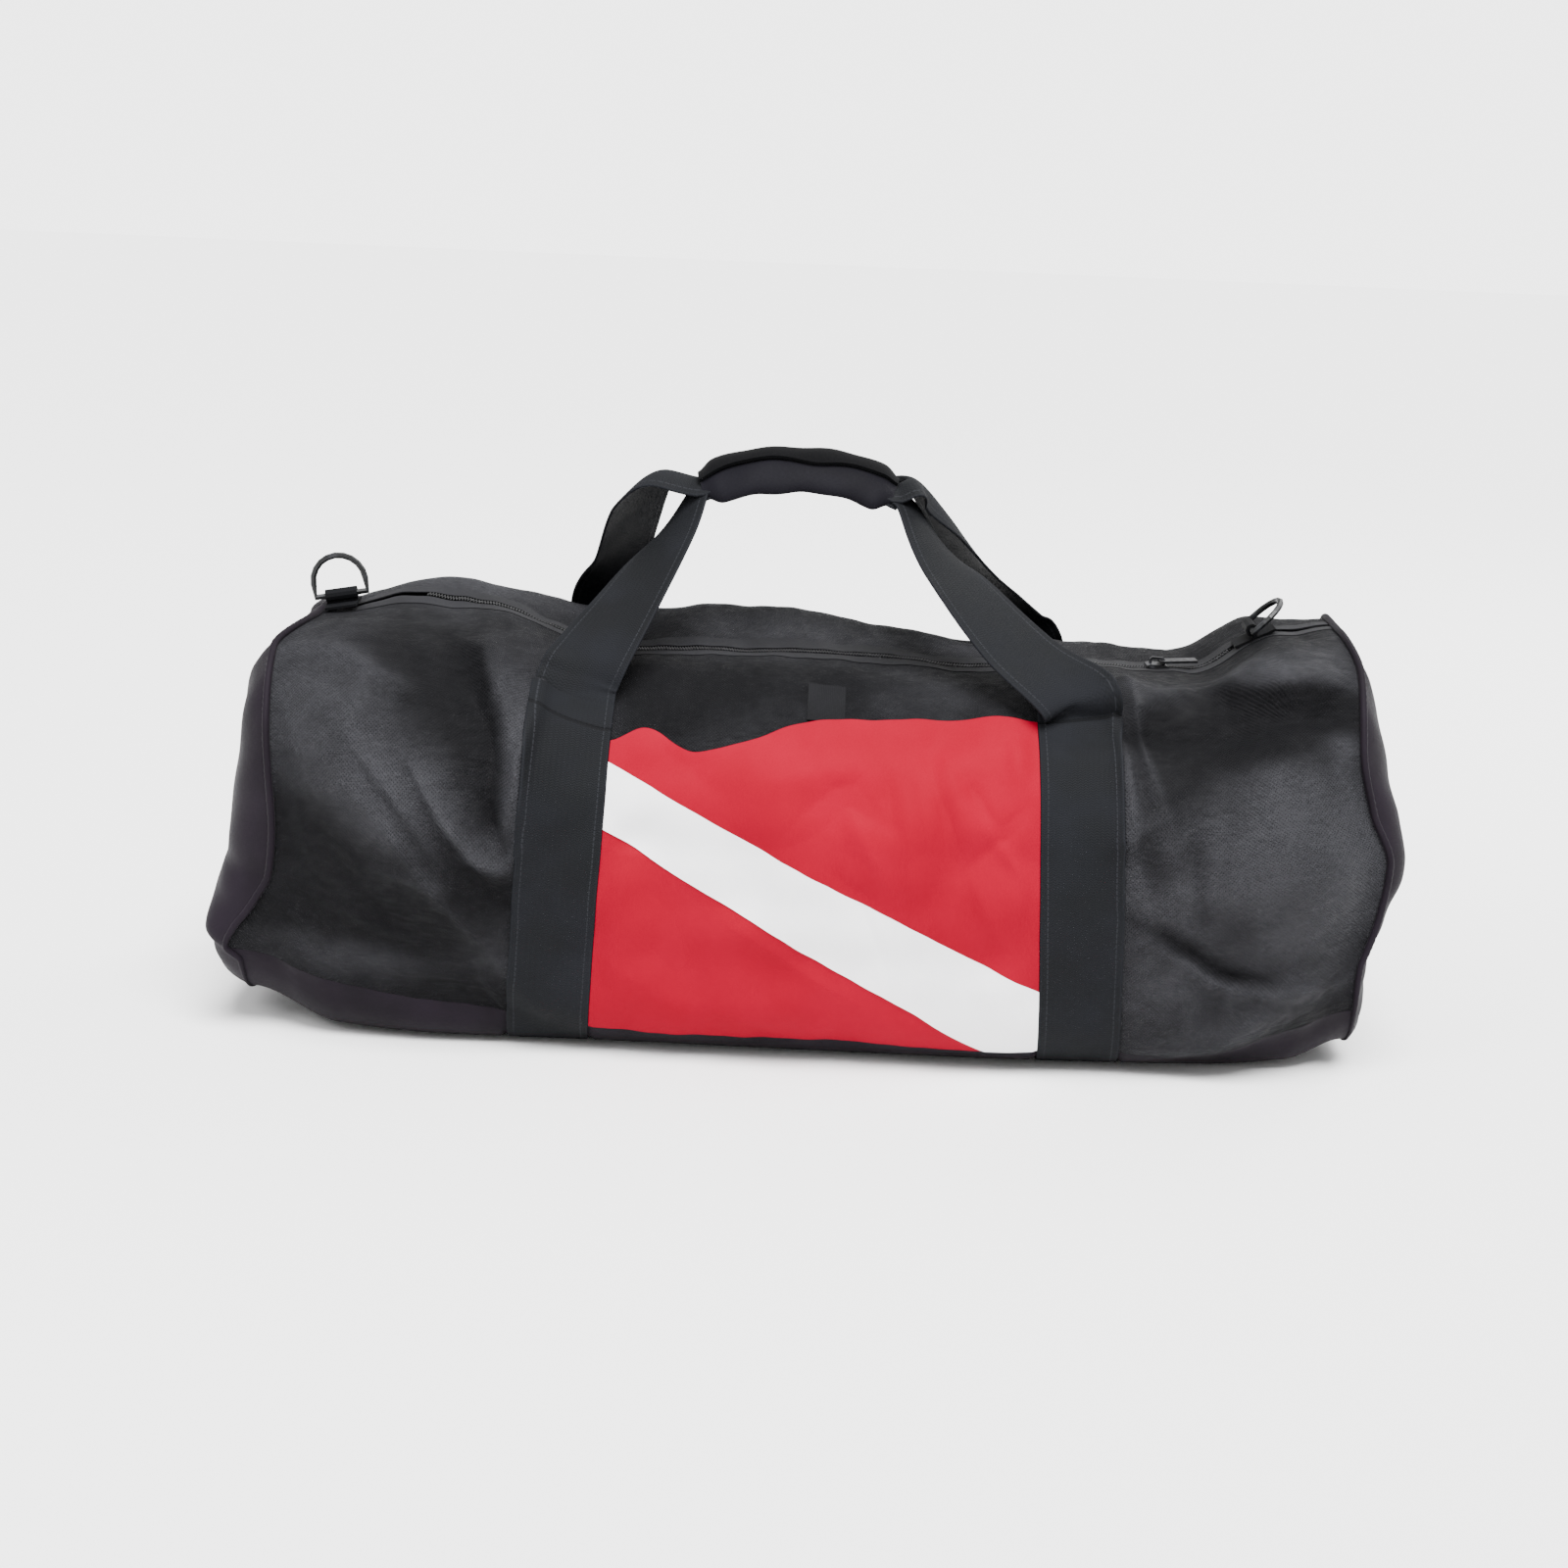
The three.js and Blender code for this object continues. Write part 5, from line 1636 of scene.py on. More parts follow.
@dataclass
class Flag:
    """The diver flag panel, a flat pocket between the straps, with its stripe and fastener."""

    shop: Workshop
    thickness: float = 0.9 * MM
    panel_wall: float = 0.81 * MM
    stripe_wall: float = 0.495 * MM
    stripe_over: float = 0.6 * MM
    patch_over: float = 1.0 * MM
    patch_lift: float = 0.9 * MM
    patch_steps: int = 21
    patch_turn: float = 0.12
    drop: float = 196 * MM
    top_dip: float = 26 * MM
    fastener: tuple[float, float] = (23 * MM, 17 * MM)
    fastener_share: float = 0.5
    columns: int = 200
    rows: int = 150
    stripe_rows: int = 60
    ripple_rise: float = 1.5 * MM
    ripple_size: float = 55 * MM
    ripple_slack: float = 0.9
    crease_slack: float = 1.5 * MM
    side_fade: float = 0.05
    foot_fade: float = 0.03
    foot_gaps: int = 4
    search_steps: int = 26

    # The dip of the top edge by the share of the width, and each stripe edge's start and slope
    TOP = Column((0.0, 0.08, 0.2, 0.3, 0.44, 0.7, 1.0), (0.65, 0.4, 0.85, 0.68, 0.25, 0.08, 0.0))
    UPPER = (0.145, 0.635)
    LOWER = (0.348, 0.728)

    def __post_init__(self) -> None:
        """Works out the flag's sides, foot and head from the skin."""
        skin = self.shop.skin
        gap = skin.sewn_gap / skin.girth
        self.foot = skin.base_seam - self.foot_gaps * gap
        self.side = skin.strap_inner - skin.sewn_gap / skin.half
        middle = skin.base_seam / 2
        self.left = float(skin.smooth_skin(-self.side, middle)[0])
        self.width = float(skin.smooth_skin(self.side, middle)[0]) - self.left
        self.head = float(skin.smooth_skin(self.side, self.foot)[2]) + self.drop
        self.ripple = Ripple(self.ripple_size, seed=5)

    def top_at(self, share: np.ndarray) -> np.ndarray:
        """The height of the flag's top edge at a share of its width, in metres."""
        return self.head - self.top_dip * self.TOP(share)

    def line_at(self, line: tuple[float, float], x: np.ndarray) -> np.ndarray:
        """The height of a stripe's edge at an x, in metres."""
        return self.head - self.drop * (line[0] + line[1] * (x - self.left) / self.width)

    def turn_at(self, at: np.ndarray, height: Callable[[np.ndarray], np.ndarray]) -> np.ndarray:
        """Where a line of the front meets each column of the flag.

        Args:
            at: the columns.
            height: gives the line's height at an x.

        Returns:
            The place round the bag for each column, no further down than the foot.
        """
        skin = self.shop.skin
        low, high = np.full_like(at, skin.lift_off / 2), np.full_like(at, self.foot)
        for _ in range(self.search_steps):
            middle = (low + high) / 2
            points = skin.smooth_skin(at, middle)
            above = points[..., 2] > height(points[..., 0])
            low, high = np.where(above, middle, low), np.where(above, high, middle)
        return (low + high) / 2

    def raised(self, at: np.ndarray, turn: np.ndarray, over: float) -> np.ndarray:
        """Points of the flag's outer face.

        Args:
            at: places along the bag.
            turn: places round it.
            over: how far over the flag's own face the points lie, in metres.

        Returns:
            The points.
        """
        skin = self.shop.skin
        base = skin.smooth_skin(at, turn)
        inner = ease(self.side - np.abs(at), 0.0, self.side_fade)
        foot = ease(self.foot - turn, 0.0, self.foot_fade)
        creases = crease_height(FLAG_CREASES, base[..., 0], base[..., 2])
        slack = self.ripple_rise * (self.ripple(base) + self.ripple_slack)
        slack = slack + np.maximum(0.0, creases + self.crease_slack)
        height = skin.sewn_gap + self.thickness + over + inner * foot * slack
        return skin.point(at, turn, height)

    def sheet(
        self, name: str, places: tuple[np.ndarray, np.ndarray], points: np.ndarray, wall: float
    ) -> Piece:
        """One sheet of the flag from its grid of points.

        Args:
            name: the piece's name.
            places: the place along the bag and the place round it for each point.
            points: the points of its outer face.
            wall: its thickness, in metres.

        Returns:
            The piece.
        """
        skin = self.shop.skin
        obj = loft(name, points, np.stack([points[..., 0], places[1] * skin.girth], -1))
        face_out(obj, skin.normal(*places))
        thicken(obj, wall)
        smooth(obj)
        return obj

    def build(self) -> None:
        """Builds and dresses the panel, the stripe and the fastener."""
        at = np.linspace(-self.side, self.side, self.columns)
        top = self.turn_at(at, lambda x: self.top_at((x - self.left) / self.width))
        places = grid(at, top, self.foot, self.rows)
        points = self.raised(*places, 0.0)
        obj = self.sheet("flag_panel_cloth", places, points, self.panel_wall)
        self.shop.hand_over(obj, "flag_panel", "flag_red", "red")
        self.shop.sheet(obj, points)
        upper = self.turn_at(at, lambda x: self.line_at(self.UPPER, x))
        lower = self.turn_at(at, lambda x: self.line_at(self.LOWER, x))
        places = grid(at, upper, lower, self.stripe_rows)
        points = self.raised(*places, self.stripe_over)
        obj = self.sheet("flag_stripe_cloth", places, points, self.stripe_wall)
        self.shop.hand_over(obj, "flag_stripe", "flag_white", "white")
        self.shop.sheet(obj, points)
        self.build_fastener()

    def build_fastener(self) -> None:
        """Builds the patch over the middle of the flag's upper edge.

        Its columns start near their x and are moved until they stand there.
        """
        skin = self.shop.skin
        wide, high = self.fastener
        middle = self.left + self.width * self.fastener_share
        corner = self.fastener_share + wide / 2 / self.width
        foot = float(self.top_at(np.array(corner))) + self.patch_lift
        from_middle = np.linspace(-1, 1, self.patch_steps) * wide / 2
        at = (from_middle + middle - skin.offset[0] - skin.strap_shift) / skin.half
        for _ in range(4):
            x = skin.smooth_skin(at, self.patch_turn)[..., 0]
            at = at + (middle + from_middle - x) / skin.half
        top = self.turn_at(at, lambda x: np.full_like(x, foot + high))
        bottom = self.turn_at(at, lambda x: np.full_like(x, foot))
        places = grid(at, top, bottom, self.patch_steps)
        points = skin.point(*places, skin.sewn_gap + self.patch_over)
        obj = self.sheet("pocket_fastener_patch", places, points, self.thickness)
        self.shop.hand_over(obj, "pocket_fastener", "webbing", "hook")


@dataclass(frozen=True)
class LegRow:
    """A station of a free leg: shares of its way across, up and inwards, and of its twist."""

    across: float
    up: float
    inward: float
    twist: float


LEGS = {
    "front_left": (
        LegRow(0.03, 0.09, 0.06, 0.03),
        LegRow(0.15, 0.22, 0.14, 0.14),
        LegRow(0.42, 0.46, 0.4, 0.44),
        LegRow(0.68, 0.73, 0.74, 0.7),
        LegRow(0.87, 0.94, 0.98, 0.97),
    ),
    "front_right": (
        LegRow(0.02, 0.11, -0.03, 0.0),
        LegRow(0.32, 0.3, 0.2, 0.2),
        LegRow(0.66, 0.62, 0.6, 0.56),
        LegRow(0.87, 0.92, 0.95, 0.97),
    ),
    "back_left": (
        LegRow(0.03, 0.2, 0.1, 0.2),
        LegRow(0.19, 0.54, 0.42, 0.6),
        LegRow(0.37, 0.88, 0.84, 0.64),
        LegRow(0.57, 1.03, 0.99, 0.82),
    ),
    "back_right": (
        LegRow(0.14, 0.16, 0.1, 0.2),
        LegRow(0.4, 0.46, 0.4, 0.55),
        LegRow(0.65, 0.82, 0.76, 0.8),
        LegRow(0.86, 1.02, 0.97, 1.0),
    ),
}


@dataclass
class Grip:
    """The padded grip round both handles, and the line that the handles follow in it."""

    shop: Workshop
    length: float = 117 * MM
    width: float = 58 * MM
    height: float = 18 * MM
    wall: float = 2.2 * MM
    rise: float = 112 * MM
    shift: float = -19 * MM
    arch: float = 12.5 * MM
    tilt: float = 0.5 * MM
    lap_start: float = 79.0
    lap: float = 40.0
    lap_wave: float = 4.0
    lap_rise: float = 1.4 * MM
    lap_seen: float = 358.0
    lap_lifts: tuple[float, float] = (300.0, 356.0)
    lap_loosens: tuple[float, float] = (352.0, 400.0)
    end_round: float = 0.3
    end_from: float = 0.78
    puff: float = 0.9 * MM
    curl: float = 8 * MM
    columns: int = 72
    steps: int = 160
    roundness: float = 2.3
    lap_gap: float = 0.6 * MM
    lap_thins: float = 0.55
    flat_ends: float = 0.75
    cloth_round: float = 0.14
    fill: float = 0.4

    def line(self, share: Numbers) -> np.ndarray:
        """Points of the grip's middle line.

        Args:
            share: places along it, from -1 at its left mouth to 1 at its right one.

        Returns:
            One point for each place.
        """
        skin = self.shop.skin
        top = skin.height * float(skin.column["height"](np.array(0.0)))
        share = np.asarray(share, float)
        z = top + self.rise + self.tilt * share - self.arch * share**2
        x = self.shift + share * self.length / 2
        return np.stack([x, np.zeros_like(x), z], -1) + skin.offset

    def up(self, share: Numbers) -> np.ndarray:
        """The way up at places of the grip's line."""
        along = unit(self.line(share + 0.01) - self.line(share - 0.01))
        return unit(np.cross(along, np.array([0.0, 1.0, 0.0])))

    def rounded(self, wave: np.ndarray, half: np.ndarray) -> np.ndarray:
        """A sine or cosine of the way round, bent towards a box with round corners."""
        return np.sign(wave) * np.abs(wave) ** (2 / self.roundness) * half

    def build(self) -> None:
        """Builds and dresses the grip.

        Its cloth is wound once round both handles and laps over its own start, a little
        unevenly, with the lap in a finish of its own. The way round is counted in degrees.
        """
        share = np.sin(np.linspace(-1, 1, self.columns) * math.pi / 2)
        s, part = np.meshgrid(share, np.linspace(0, 1, self.steps), indexing="ij")
        wave = np.sin(s * 5.2 + 0.6) + 0.5 * np.sin(s * 11.0)
        w = part * (360 + self.lap + self.lap_wave * wave)
        loose = self.lap_rise * ease(w, *self.lap_loosens) * (1.0 - self.lap_thins * (s + 1) / 2)
        step = (self.wall + self.lap_gap) * ease(w, *self.lap_lifts) + loose
        angle = np.radians(self.lap_start + w)
        ends = 1 - self.end_round * ease(np.abs(s), self.end_from, 1.0) ** 2
        swell = self.puff * np.sin(s * 9.0 + angle) * np.cos(angle * 2 + s * 3.0)
        narrow = 1 - self.flat_ends + self.flat_ends * ends
        y = self.rounded(np.cos(angle), (self.width / 2 + step) * narrow + swell)
        z = self.rounded(np.sin(angle), (self.height / 2 + step) * ends + swell)
        bend = self.curl * (0.5 - (y / (self.shop.skin.web_width / 2)) ** 2)
        centre = self.line(s)
        points = centre + np.array([0.0, 1.0, 0.0]) * y[..., None] + self.up(s) * (z + bend)[..., None]
        uvs = np.stack([s * self.length / 2, w / 360 * self.cloth_round], -1)
        obj = loft("grip_wrap_cloth", points, uvs)
        face_out(obj, points - centre)
        lapped = (w[:-1, :-1] > self.lap_seen).astype(np.int32)
        for _ in range(2):
            obj.data.materials.append(None)
        obj.data.polygons.foreach_set("material_index", lapped.ravel())
        thicken(obj, self.wall)
        smooth(obj)
        kept = np.zeros(len(obj.data.polygons), np.int32)
        obj.data.polygons.foreach_get("material_index", kept)
        self.shop.hand_over(obj, "grip_wrap", "grip_pad", "grip")
        obj.data.materials.append(self.shop.wardrobe.material("lap"))
        obj.data.polygons.foreach_set("material_index", kept)


@dataclass
class Webbing:
    """Two lengths of webbing: each up one strap, over as a handle and down the other strap."""

    shop: Workshop
    grip: Grip
    across_steps: int = 20
    leg_steps: int = 90
    sewn_steps: int = 230
    grip_steps: int = 30
    rows_below: tuple[float, float] = (19 * MM, 3 * MM)
    stack_gap: float = 1.5 * MM
    stack_lift: float = 1.2 * MM
    edge_thins: float = 0.55
    turn_step: float = 0.02

    def edge_shares(self) -> np.ndarray:
        """Places across the webbing, from -1 to 1, closer together at its edges."""
        inner = np.linspace(-0.955, 0.955, self.across_steps - 1)
        return np.concatenate([[-1.0, -0.985], inner, [0.985, 1.0]])

    def section(
        self, middle: np.ndarray, along: np.ndarray, inward: np.ndarray, curl: np.ndarray, side: float
    ) -> tuple[np.ndarray, np.ndarray]:
        """The middle surface of free webbing.

        Args:
            middle: its middle line, one point for each station.
            along: the way that it runs there.
            inward: the way to its inner edge there.
            curl: how much its edges droop there, from 0 to 1.
            side: -1 for the front length and 1 for the back one.

        Returns:
            Points and outward normals, (stations, places across, 3).
        """
        across = unit(inward - (inward * along).sum(-1, keepdims=True) * along)
        face = unit(np.cross(across, along)) * -side
        half = self.shop.skin.web_width / 2
        drop = (self.grip.curl * curl)[:, None]
        narrow = half - 2 * drop**2 / (3 * half)
        share = self.edge_shares()[None]
        points = middle[:, None] + across[:, None] * (share * narrow)[..., None]
        points = points - face[:, None] * (drop * share**2)[..., None]
        out = unit(face[:, None] + across[:, None] * (2 * drop * share / half)[..., None])
        return points, out

    def sewn(self, end: float, turns: np.ndarray) -> tuple[np.ndarray, np.ndarray]:
        """The middle surface of webbing that is sewn to the skin.

        Args:
            end: -1 for the left strap and 1 for the right one.
            turns: its stations round the bag.

        Returns:
            Points and outward normals, from the outer edge to the inner one.
        """
        skin = self.shop.skin
        share = (self.edge_shares() + 1) / 2
        at = end * (skin.strap_outer + (skin.strap_inner - skin.strap_outer) * share)
        ats, turn = np.meshgrid(at, turns, indexing="xy")
        raised = skin.sewn_gap + skin.web_thickness / 2
        return skin.point(ats, turn, raised), skin.normal(ats, turn, 1.0)

    def leg(
        self, end: float, side: float, rows: Sequence[LegRow], goal: np.ndarray, inside: np.ndarray
    ) -> tuple[np.ndarray, np.ndarray]:
        """One free leg, from where the webbing leaves the skin to the mouth of the grip.

        Args:
            end: -1 for the left leg and 1 for the right one.
            side: -1 for the front length and 1 for the back one.
            rows: the leg's stations.
            goal: the webbing's middle at the mouth.
            inside: its middle a little inside the grip.

        Returns:
            Points and outward normals.
        """
        skin = self.shop.skin
        turn = skin.lift_off if side < 0 else 1 - skin.lift_off
        raised = skin.sewn_gap + skin.web_thickness / 2
        middle = end * (skin.strap_inner + skin.strap_outer) / 2
        before = skin.point(middle, turn - side * self.turn_step, raised)
        start = skin.point(middle, turn, raised)
        way = goal - start
        stops = [start + way * np.array([row.across, row.inward, row.up]) for row in rows]
        line = np.array([before, start, *stops, goal, inside])
        last = len(rows) + 2
        places = np.linspace(1, last, self.leg_steps + 1)[1:-1]
        path = spline(line, places)
        along = unit(spline(line, places + 0.02) - spline(line, places - 0.02)) * -end
        twists = Column(range(last + 2), [0, 0, *[row.twist for row in rows], 1, 1])
        twist = twists(places)
        angle = twist * math.pi / 2
        inward = np.stack([-end * np.cos(angle), side * np.sin(angle), np.zeros_like(angle)], -1)
        return self.section(path, along, inward, ease(twist, 0.4, 1.0), side)

    def in_grip(self, share: Numbers, side: float) -> np.ndarray:
        """Points of a handle's middle line inside the grip.

        Args:
            share: places along the grip, from -1 at its left mouth to 1 at its right one.
            side: -1 for the front length and 1 for the back one, which lies on top.

        Returns:
            One point for each place.
        """
        apart = side * (self.shop.skin.web_thickness + self.stack_gap) / 2
        raised = apart + self.grip.curl / 2 + self.stack_lift
        return self.grip.line(share) + self.grip.up(share) * raised

    def length(self, name: str, side: float, left: Sequence[LegRow], right: Sequence[LegRow]) -> None:
        """Builds and dresses one whole length of webbing.

        Args:
            name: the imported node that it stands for.
            side: -1 for the front length and 1 for the back one.
            left: the stations of its left leg.
            right: the stations of its right leg.
        """
        skin = self.shop.skin
        halfway = 0.5 - skin.sewn_gap / skin.girth / 2
        turns = np.linspace(skin.lift_off, halfway, self.sewn_steps)
        turns = turns if side < 0 else 1 - turns
        share = np.linspace(-1, 1, self.grip_steps)
        line = self.in_grip(share, side)
        along = unit(self.in_grip(share + 0.01, side) - self.in_grip(share - 0.01, side))
        inward = np.broadcast_to(np.array([0.0, side, 0.0]), along.shape)
        left_mouth, left_inside, right_inside, right_mouth = (
            self.in_grip(place, side) for place in (-1.0, -0.8, 0.8, 1.0)
        )
        parts = [
            tuple(p[::-1] for p in self.sewn(-1.0, turns)),
            self.leg(-1.0, side, left, left_mouth, left_inside),
            self.section(line, along, inward, np.ones(len(share)), side),
            tuple(p[::-1] for p in self.leg(1.0, side, right, right_mouth, right_inside)),
            self.sewn(1.0, turns),
        ]
        middle = np.concatenate([part[0] for part in parts])
        normal = np.concatenate([part[1] for part in parts])
        half = skin.web_thickness / 2
        edge = 1 - (np.abs(self.edge_shares()) > 0.99) * self.edge_thins
        outer = middle + normal * (half * edge)[None, :, None]
        inner = middle - normal * (half * edge)[None, :, None]
        points = np.concatenate([outer, inner[:, ::-1]], 1)
        way = lengths(middle[:, [len(edge) // 2]], 0)
        across = self.edge_shares() * skin.web_width / 2
        u = np.concatenate([across, across[::-1], across[:1]])
        uvs = np.stack(np.broadcast_arrays(u[None], way), -1)
        obj = loft(name + "_strap", points, uvs, closed=True)
        left_row = way[self.sewn_steps, 0] - self.rows_below[0]
        right_row = way[-self.sewn_steps, 0] + self.rows_below[1]
        from_row = np.where(way > way[-1, 0] / 2, way - right_row, way - left_row)
        paint(obj, ROW_NAME, np.broadcast_to(from_row, points.shape[:2]))
        face_out(obj, np.concatenate([normal, -normal[:, ::-1]], 1))
        self.cap(obj)
        smooth(obj, 60)
        self.shop.hand_over(obj, name, "webbing", "webbing")

    def cap(self, obj: Piece) -> None:
        """Closes the two cut ends of a length of webbing.

        Args:
            obj: the length.
        """
        only(obj)
        bpy.ops.object.mode_set(mode="EDIT")
        bpy.ops.mesh.select_all(action="DESELECT")
        bpy.ops.mesh.select_mode(type="EDGE")
        bpy.ops.mesh.select_non_manifold()
        bpy.ops.mesh.fill()
        bpy.ops.object.mode_set(mode="OBJECT")

    def build(self) -> None:
        """Builds both lengths."""
        self.length("webbing_front", -1.0, LEGS["front_left"], LEGS["front_right"])
        self.length("webbing_back", 1.0, LEGS["back_left"], LEGS["back_right"])


@dataclass
class Zip:
    """The two tapes and the closed coil; the slider and its pull stay as packed."""

    shop: Workshop
    end: float = 0.8
    tape_columns: int = 320
    tape_rows: int = 9
    tape_thickness: float = 0.8 * MM
    tooth_pitch: float = 1.9 * MM
    tooth_size: tuple[float, float, float] = (1.1 * MM, 3.0 * MM, 1.7 * MM)
    tooth_reach: float = 0.9 * MM
    tooth_sides: int = 6
    tooth_bevel: float = 0.12

    def build(self) -> None:
        """Builds and dresses the tapes and the coil."""
        skin = self.shop.skin
        gap = skin.sewn_gap / skin.girth
        inner, outer = skin.coil_edge + gap, skin.tape_edge - gap / 2
        edges = {"zip_tape_front": (inner, outer), "zip_tape_back": (1 - outer, 1 - inner)}
        for name, (first, last) in edges.items():
            at, turn = grid(np.linspace(-1, 1, self.tape_columns), first, last, self.tape_rows)
            points = skin.point(at, turn, self.tape_thickness / 2)
            uvs = np.stack([at * skin.half, turn * skin.girth], -1)
            obj = loft(name + "_weave", points, uvs)
            face_out(obj, skin.normal(at, turn))
            thicken(obj, self.tape_thickness)
            smooth(obj)
            self.shop.hand_over(obj, name, "zip_tape", "tape")
        self.coil()

    def tooth(self) -> tuple[np.ndarray, list[tuple[int, ...]]]:
        """One tooth of the coil: a rounded bar with its length along Y.

        Returns:
            Its corners and faces.
        """
        bpy.ops.object.select_all(action="DESELECT")
        bpy.ops.mesh.primitive_cylinder_add(
            vertices=self.tooth_sides, radius=0.5, depth=1.0, rotation=(math.pi / 2, 0, 0)
        )
        bar = bpy.context.object
        bpy.ops.object.transform_apply(location=False, rotation=True, scale=False)
        bevel = bar.modifiers.new("round", "BEVEL")
        bevel.width, bevel.segments = self.tooth_bevel, 1
        bpy.ops.object.modifier_apply(modifier=bevel.name)
        corners = np.array([v.co[:] for v in bar.data.vertices])
        faces = [tuple(p.vertices) for p in bar.data.polygons]
        bpy.data.objects.remove(bar)
        return corners * np.array(self.tooth_size), faces

    def coil(self) -> None:
        """Builds the closed coil: two rows of teeth that bite into each other."""
        skin = self.shop.skin
        corners, faces = self.tooth()
        count = 2 * int(2 * self.end * skin.half / self.tooth_pitch)
        at = -self.end + 2 * self.end * (np.arange(count) + 0.5) / count
        seam = np.zeros(count)
        line = skin.point(at, seam)
        up = skin.normal(at, seam, 1.0)
        along = unit(skin.point(at + 1e-3, seam) - line)
        across = np.cross(up, along)
        side = np.where(np.arange(count) % 2, 1.0, -1.0)[:, None]
        place = line + across * side * self.tooth_reach
        points = np.einsum("vk,nkx->nvx", corners, np.stack([along, across, up], 1)) + place[:, None]
        quads = [tuple(k + len(corners) * i for k in face) for i in range(count) for face in faces]
        mesh = bpy.data.meshes.new("zip_coil_teeth")
        mesh.from_pydata(points.reshape(-1, 3).tolist(), [], quads)
        mesh.uv_layers.new(name=UV_NAME)
        obj = bpy.data.objects.new("zip_coil_teeth", mesh)
        bpy.context.scene.collection.objects.link(obj)
        smooth(obj, 40)
        self.shop.hand_over(obj, "zip_coil", "zip_coil", "coil")


PACKED_FINISHES = {
    "zip_slider": "metal",
    "zip_pull": "metal",
    "d_ring_left": "plastic",
    "d_ring_right": "plastic",
    "d_ring_left_tab": "webbing",
    "d_ring_right_tab": "webbing",
}


@dataclass
class Hardware:
    """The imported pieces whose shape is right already, which get a better finish."""

    shop: Workshop

    def build(self) -> None:
        """Dresses the slider, its pull, the rings and their tabs."""
        for node, finish in PACKED_FINISHES.items():
            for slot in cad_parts[node].material_slots:
                slot.material = self.shop.wardrobe.material(finish)
            LOG.info("%s keeps its packed shape", node)


# The room


@dataclass(frozen=True)
class Lamp:
    """One soft square light: where it hangs, the length of its sides and its power in watts."""

    name: str
    place: tuple[float, float, float]
    size: float
    power: float


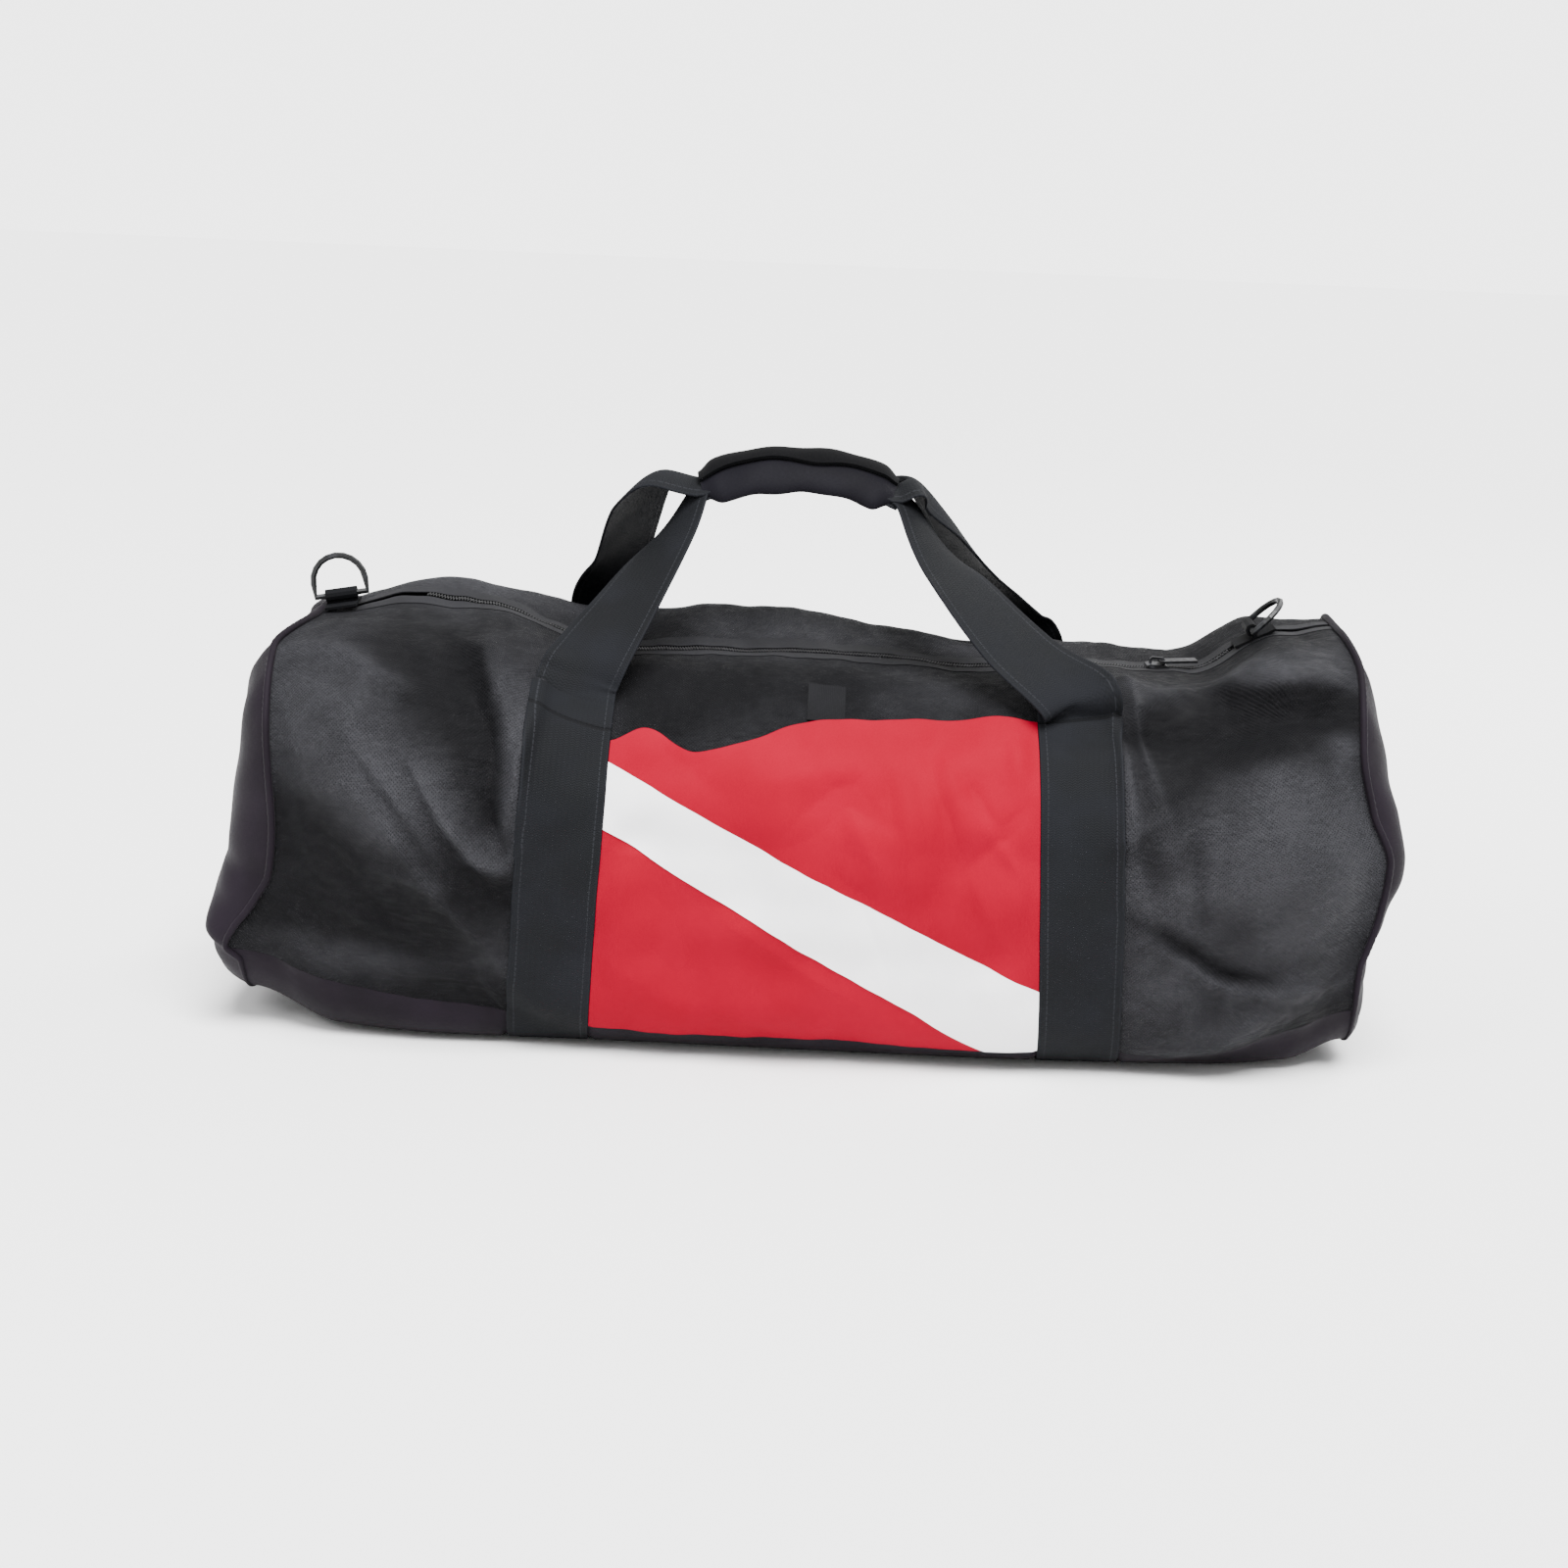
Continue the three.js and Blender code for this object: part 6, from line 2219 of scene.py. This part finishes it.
@dataclass
class Studio:
    """The camera at the photograph's angle, the pale floor and soft light."""

    elevation: float = 12.97
    roll: float = 2.42
    distance: float = 1.946
    target: tuple[float, float, float] = (0.0, 0.0, 0.15)
    focal_length: float = 69.75
    sensor_width: float = 36.0
    shift: tuple[float, float] = (-0.0161, -0.0046)
    room_light: float = 1.0
    room_seen: float = 3.9
    floor_size: float = 16.0
    sun_power: float = 11.0
    sun_angle: float = 40.0
    sun_place: tuple[float, float, float] = (0.25, -0.8, 2.3)
    lamps: tuple[Lamp, ...] = (
        Lamp("key", (-1.5, -1.7, 1.9), 0.9, 30),
        Lamp("rim", (1.2, 1.4, 1.6), 1.0, 25),
    )

    def camera(self) -> None:
        """Sets up the camera."""
        data = bpy.data.cameras.new("view")
        data.lens = self.focal_length
        data.sensor_width = self.sensor_width
        data.shift_x, data.shift_y = self.shift
        obj = bpy.data.objects.new("view", data)
        bpy.context.scene.collection.objects.link(obj)
        tilt, roll = math.radians(self.elevation), math.radians(self.roll)
        forward = Vector((0.0, math.cos(tilt), -math.sin(tilt)))
        right, up = Vector((1.0, 0.0, 0.0)), Vector((0.0, math.sin(tilt), math.cos(tilt)))
        across = right * math.cos(roll) + up * math.sin(roll)
        upward = up * math.cos(roll) - right * math.sin(roll)
        turned = Matrix((across, upward, -forward)).transposed().to_4x4()
        obj.matrix_world = Matrix.Translation(Vector(self.target) - forward * self.distance) @ turned
        bpy.context.scene.camera = obj

    def hang(self, data: bpy.types.Light, place: tuple[float, float, float]) -> None:
        """Hangs a light so that it looks at the bag.

        Args:
            data: the light.
            place: where it hangs.
        """
        obj = bpy.data.objects.new(data.name, data)
        bpy.context.scene.collection.objects.link(obj)
        obj.location = place
        obj.rotation_euler = (Vector(self.target) - Vector(place)).to_track_quat("-Z", "Y").to_euler()

    def lights(self) -> None:
        """Adds the broad main light, which lights the whole floor alike, and the lamps."""
        sun = bpy.data.lights.new("over", "SUN")
        sun.energy, sun.angle = self.sun_power, math.radians(self.sun_angle)
        self.hang(sun, self.sun_place)
        for lamp in self.lamps:
            data = bpy.data.lights.new(lamp.name, "AREA")
            data.size, data.energy = lamp.size, lamp.power
            self.hang(data, lamp.place)

    def room(self) -> None:
        """Sets the room's own light, which the camera sees brighter than it falls on the bag."""
        world = bpy.data.worlds.new("room")
        world.use_nodes = True
        tree = world.node_tree
        background = tree.nodes["Background"]
        background.inputs[0].default_value = (1.0, 1.0, 1.0, 1.0)
        seen = tree.nodes.new("ShaderNodeMapRange")
        seen.inputs["To Min"].default_value = self.room_light
        seen.inputs["To Max"].default_value = self.room_seen
        tree.links.new(tree.nodes.new("ShaderNodeLightPath").outputs["Is Camera Ray"], seen.inputs[0])
        tree.links.new(seen.outputs[0], background.inputs[1])
        bpy.context.scene.world = world

    def build(self) -> None:
        """Sets up the camera, the floor, the lights and the room's own light."""
        self.camera()
        bpy.ops.object.select_all(action="DESELECT")
        bpy.ops.mesh.primitive_plane_add(size=self.floor_size, location=(0, 0, 0))
        floor = bpy.context.object
        floor.name = "floor"
        floor.data.materials.append(FloorFinish().build())
        self.room()
        self.lights()


def corners(box: tuple[Vector, Vector]) -> list[list[float]]:
    """A box as plain lists of numbers."""
    return [[float(v) for v in corner] for corner in box]


def main() -> None:
    """Builds the whole scene, piece by piece."""
    logging.basicConfig(level=logging.INFO, format="%(name)s: %(message)s")
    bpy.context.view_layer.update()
    Studio().build()
    shop = Workshop(Skin(), Wardrobe())
    grip = Grip(shop)
    sewn = (Panels(shop), Piping(shop), Flag(shop), Webbing(shop, grip), grip)
    for assembly in (*sewn, Zip(shop), Hardware(shop)):
        assembly.build()
        LOG.info("%s is done", type(assembly).__name__)


if __name__ == "__main__":
    main()
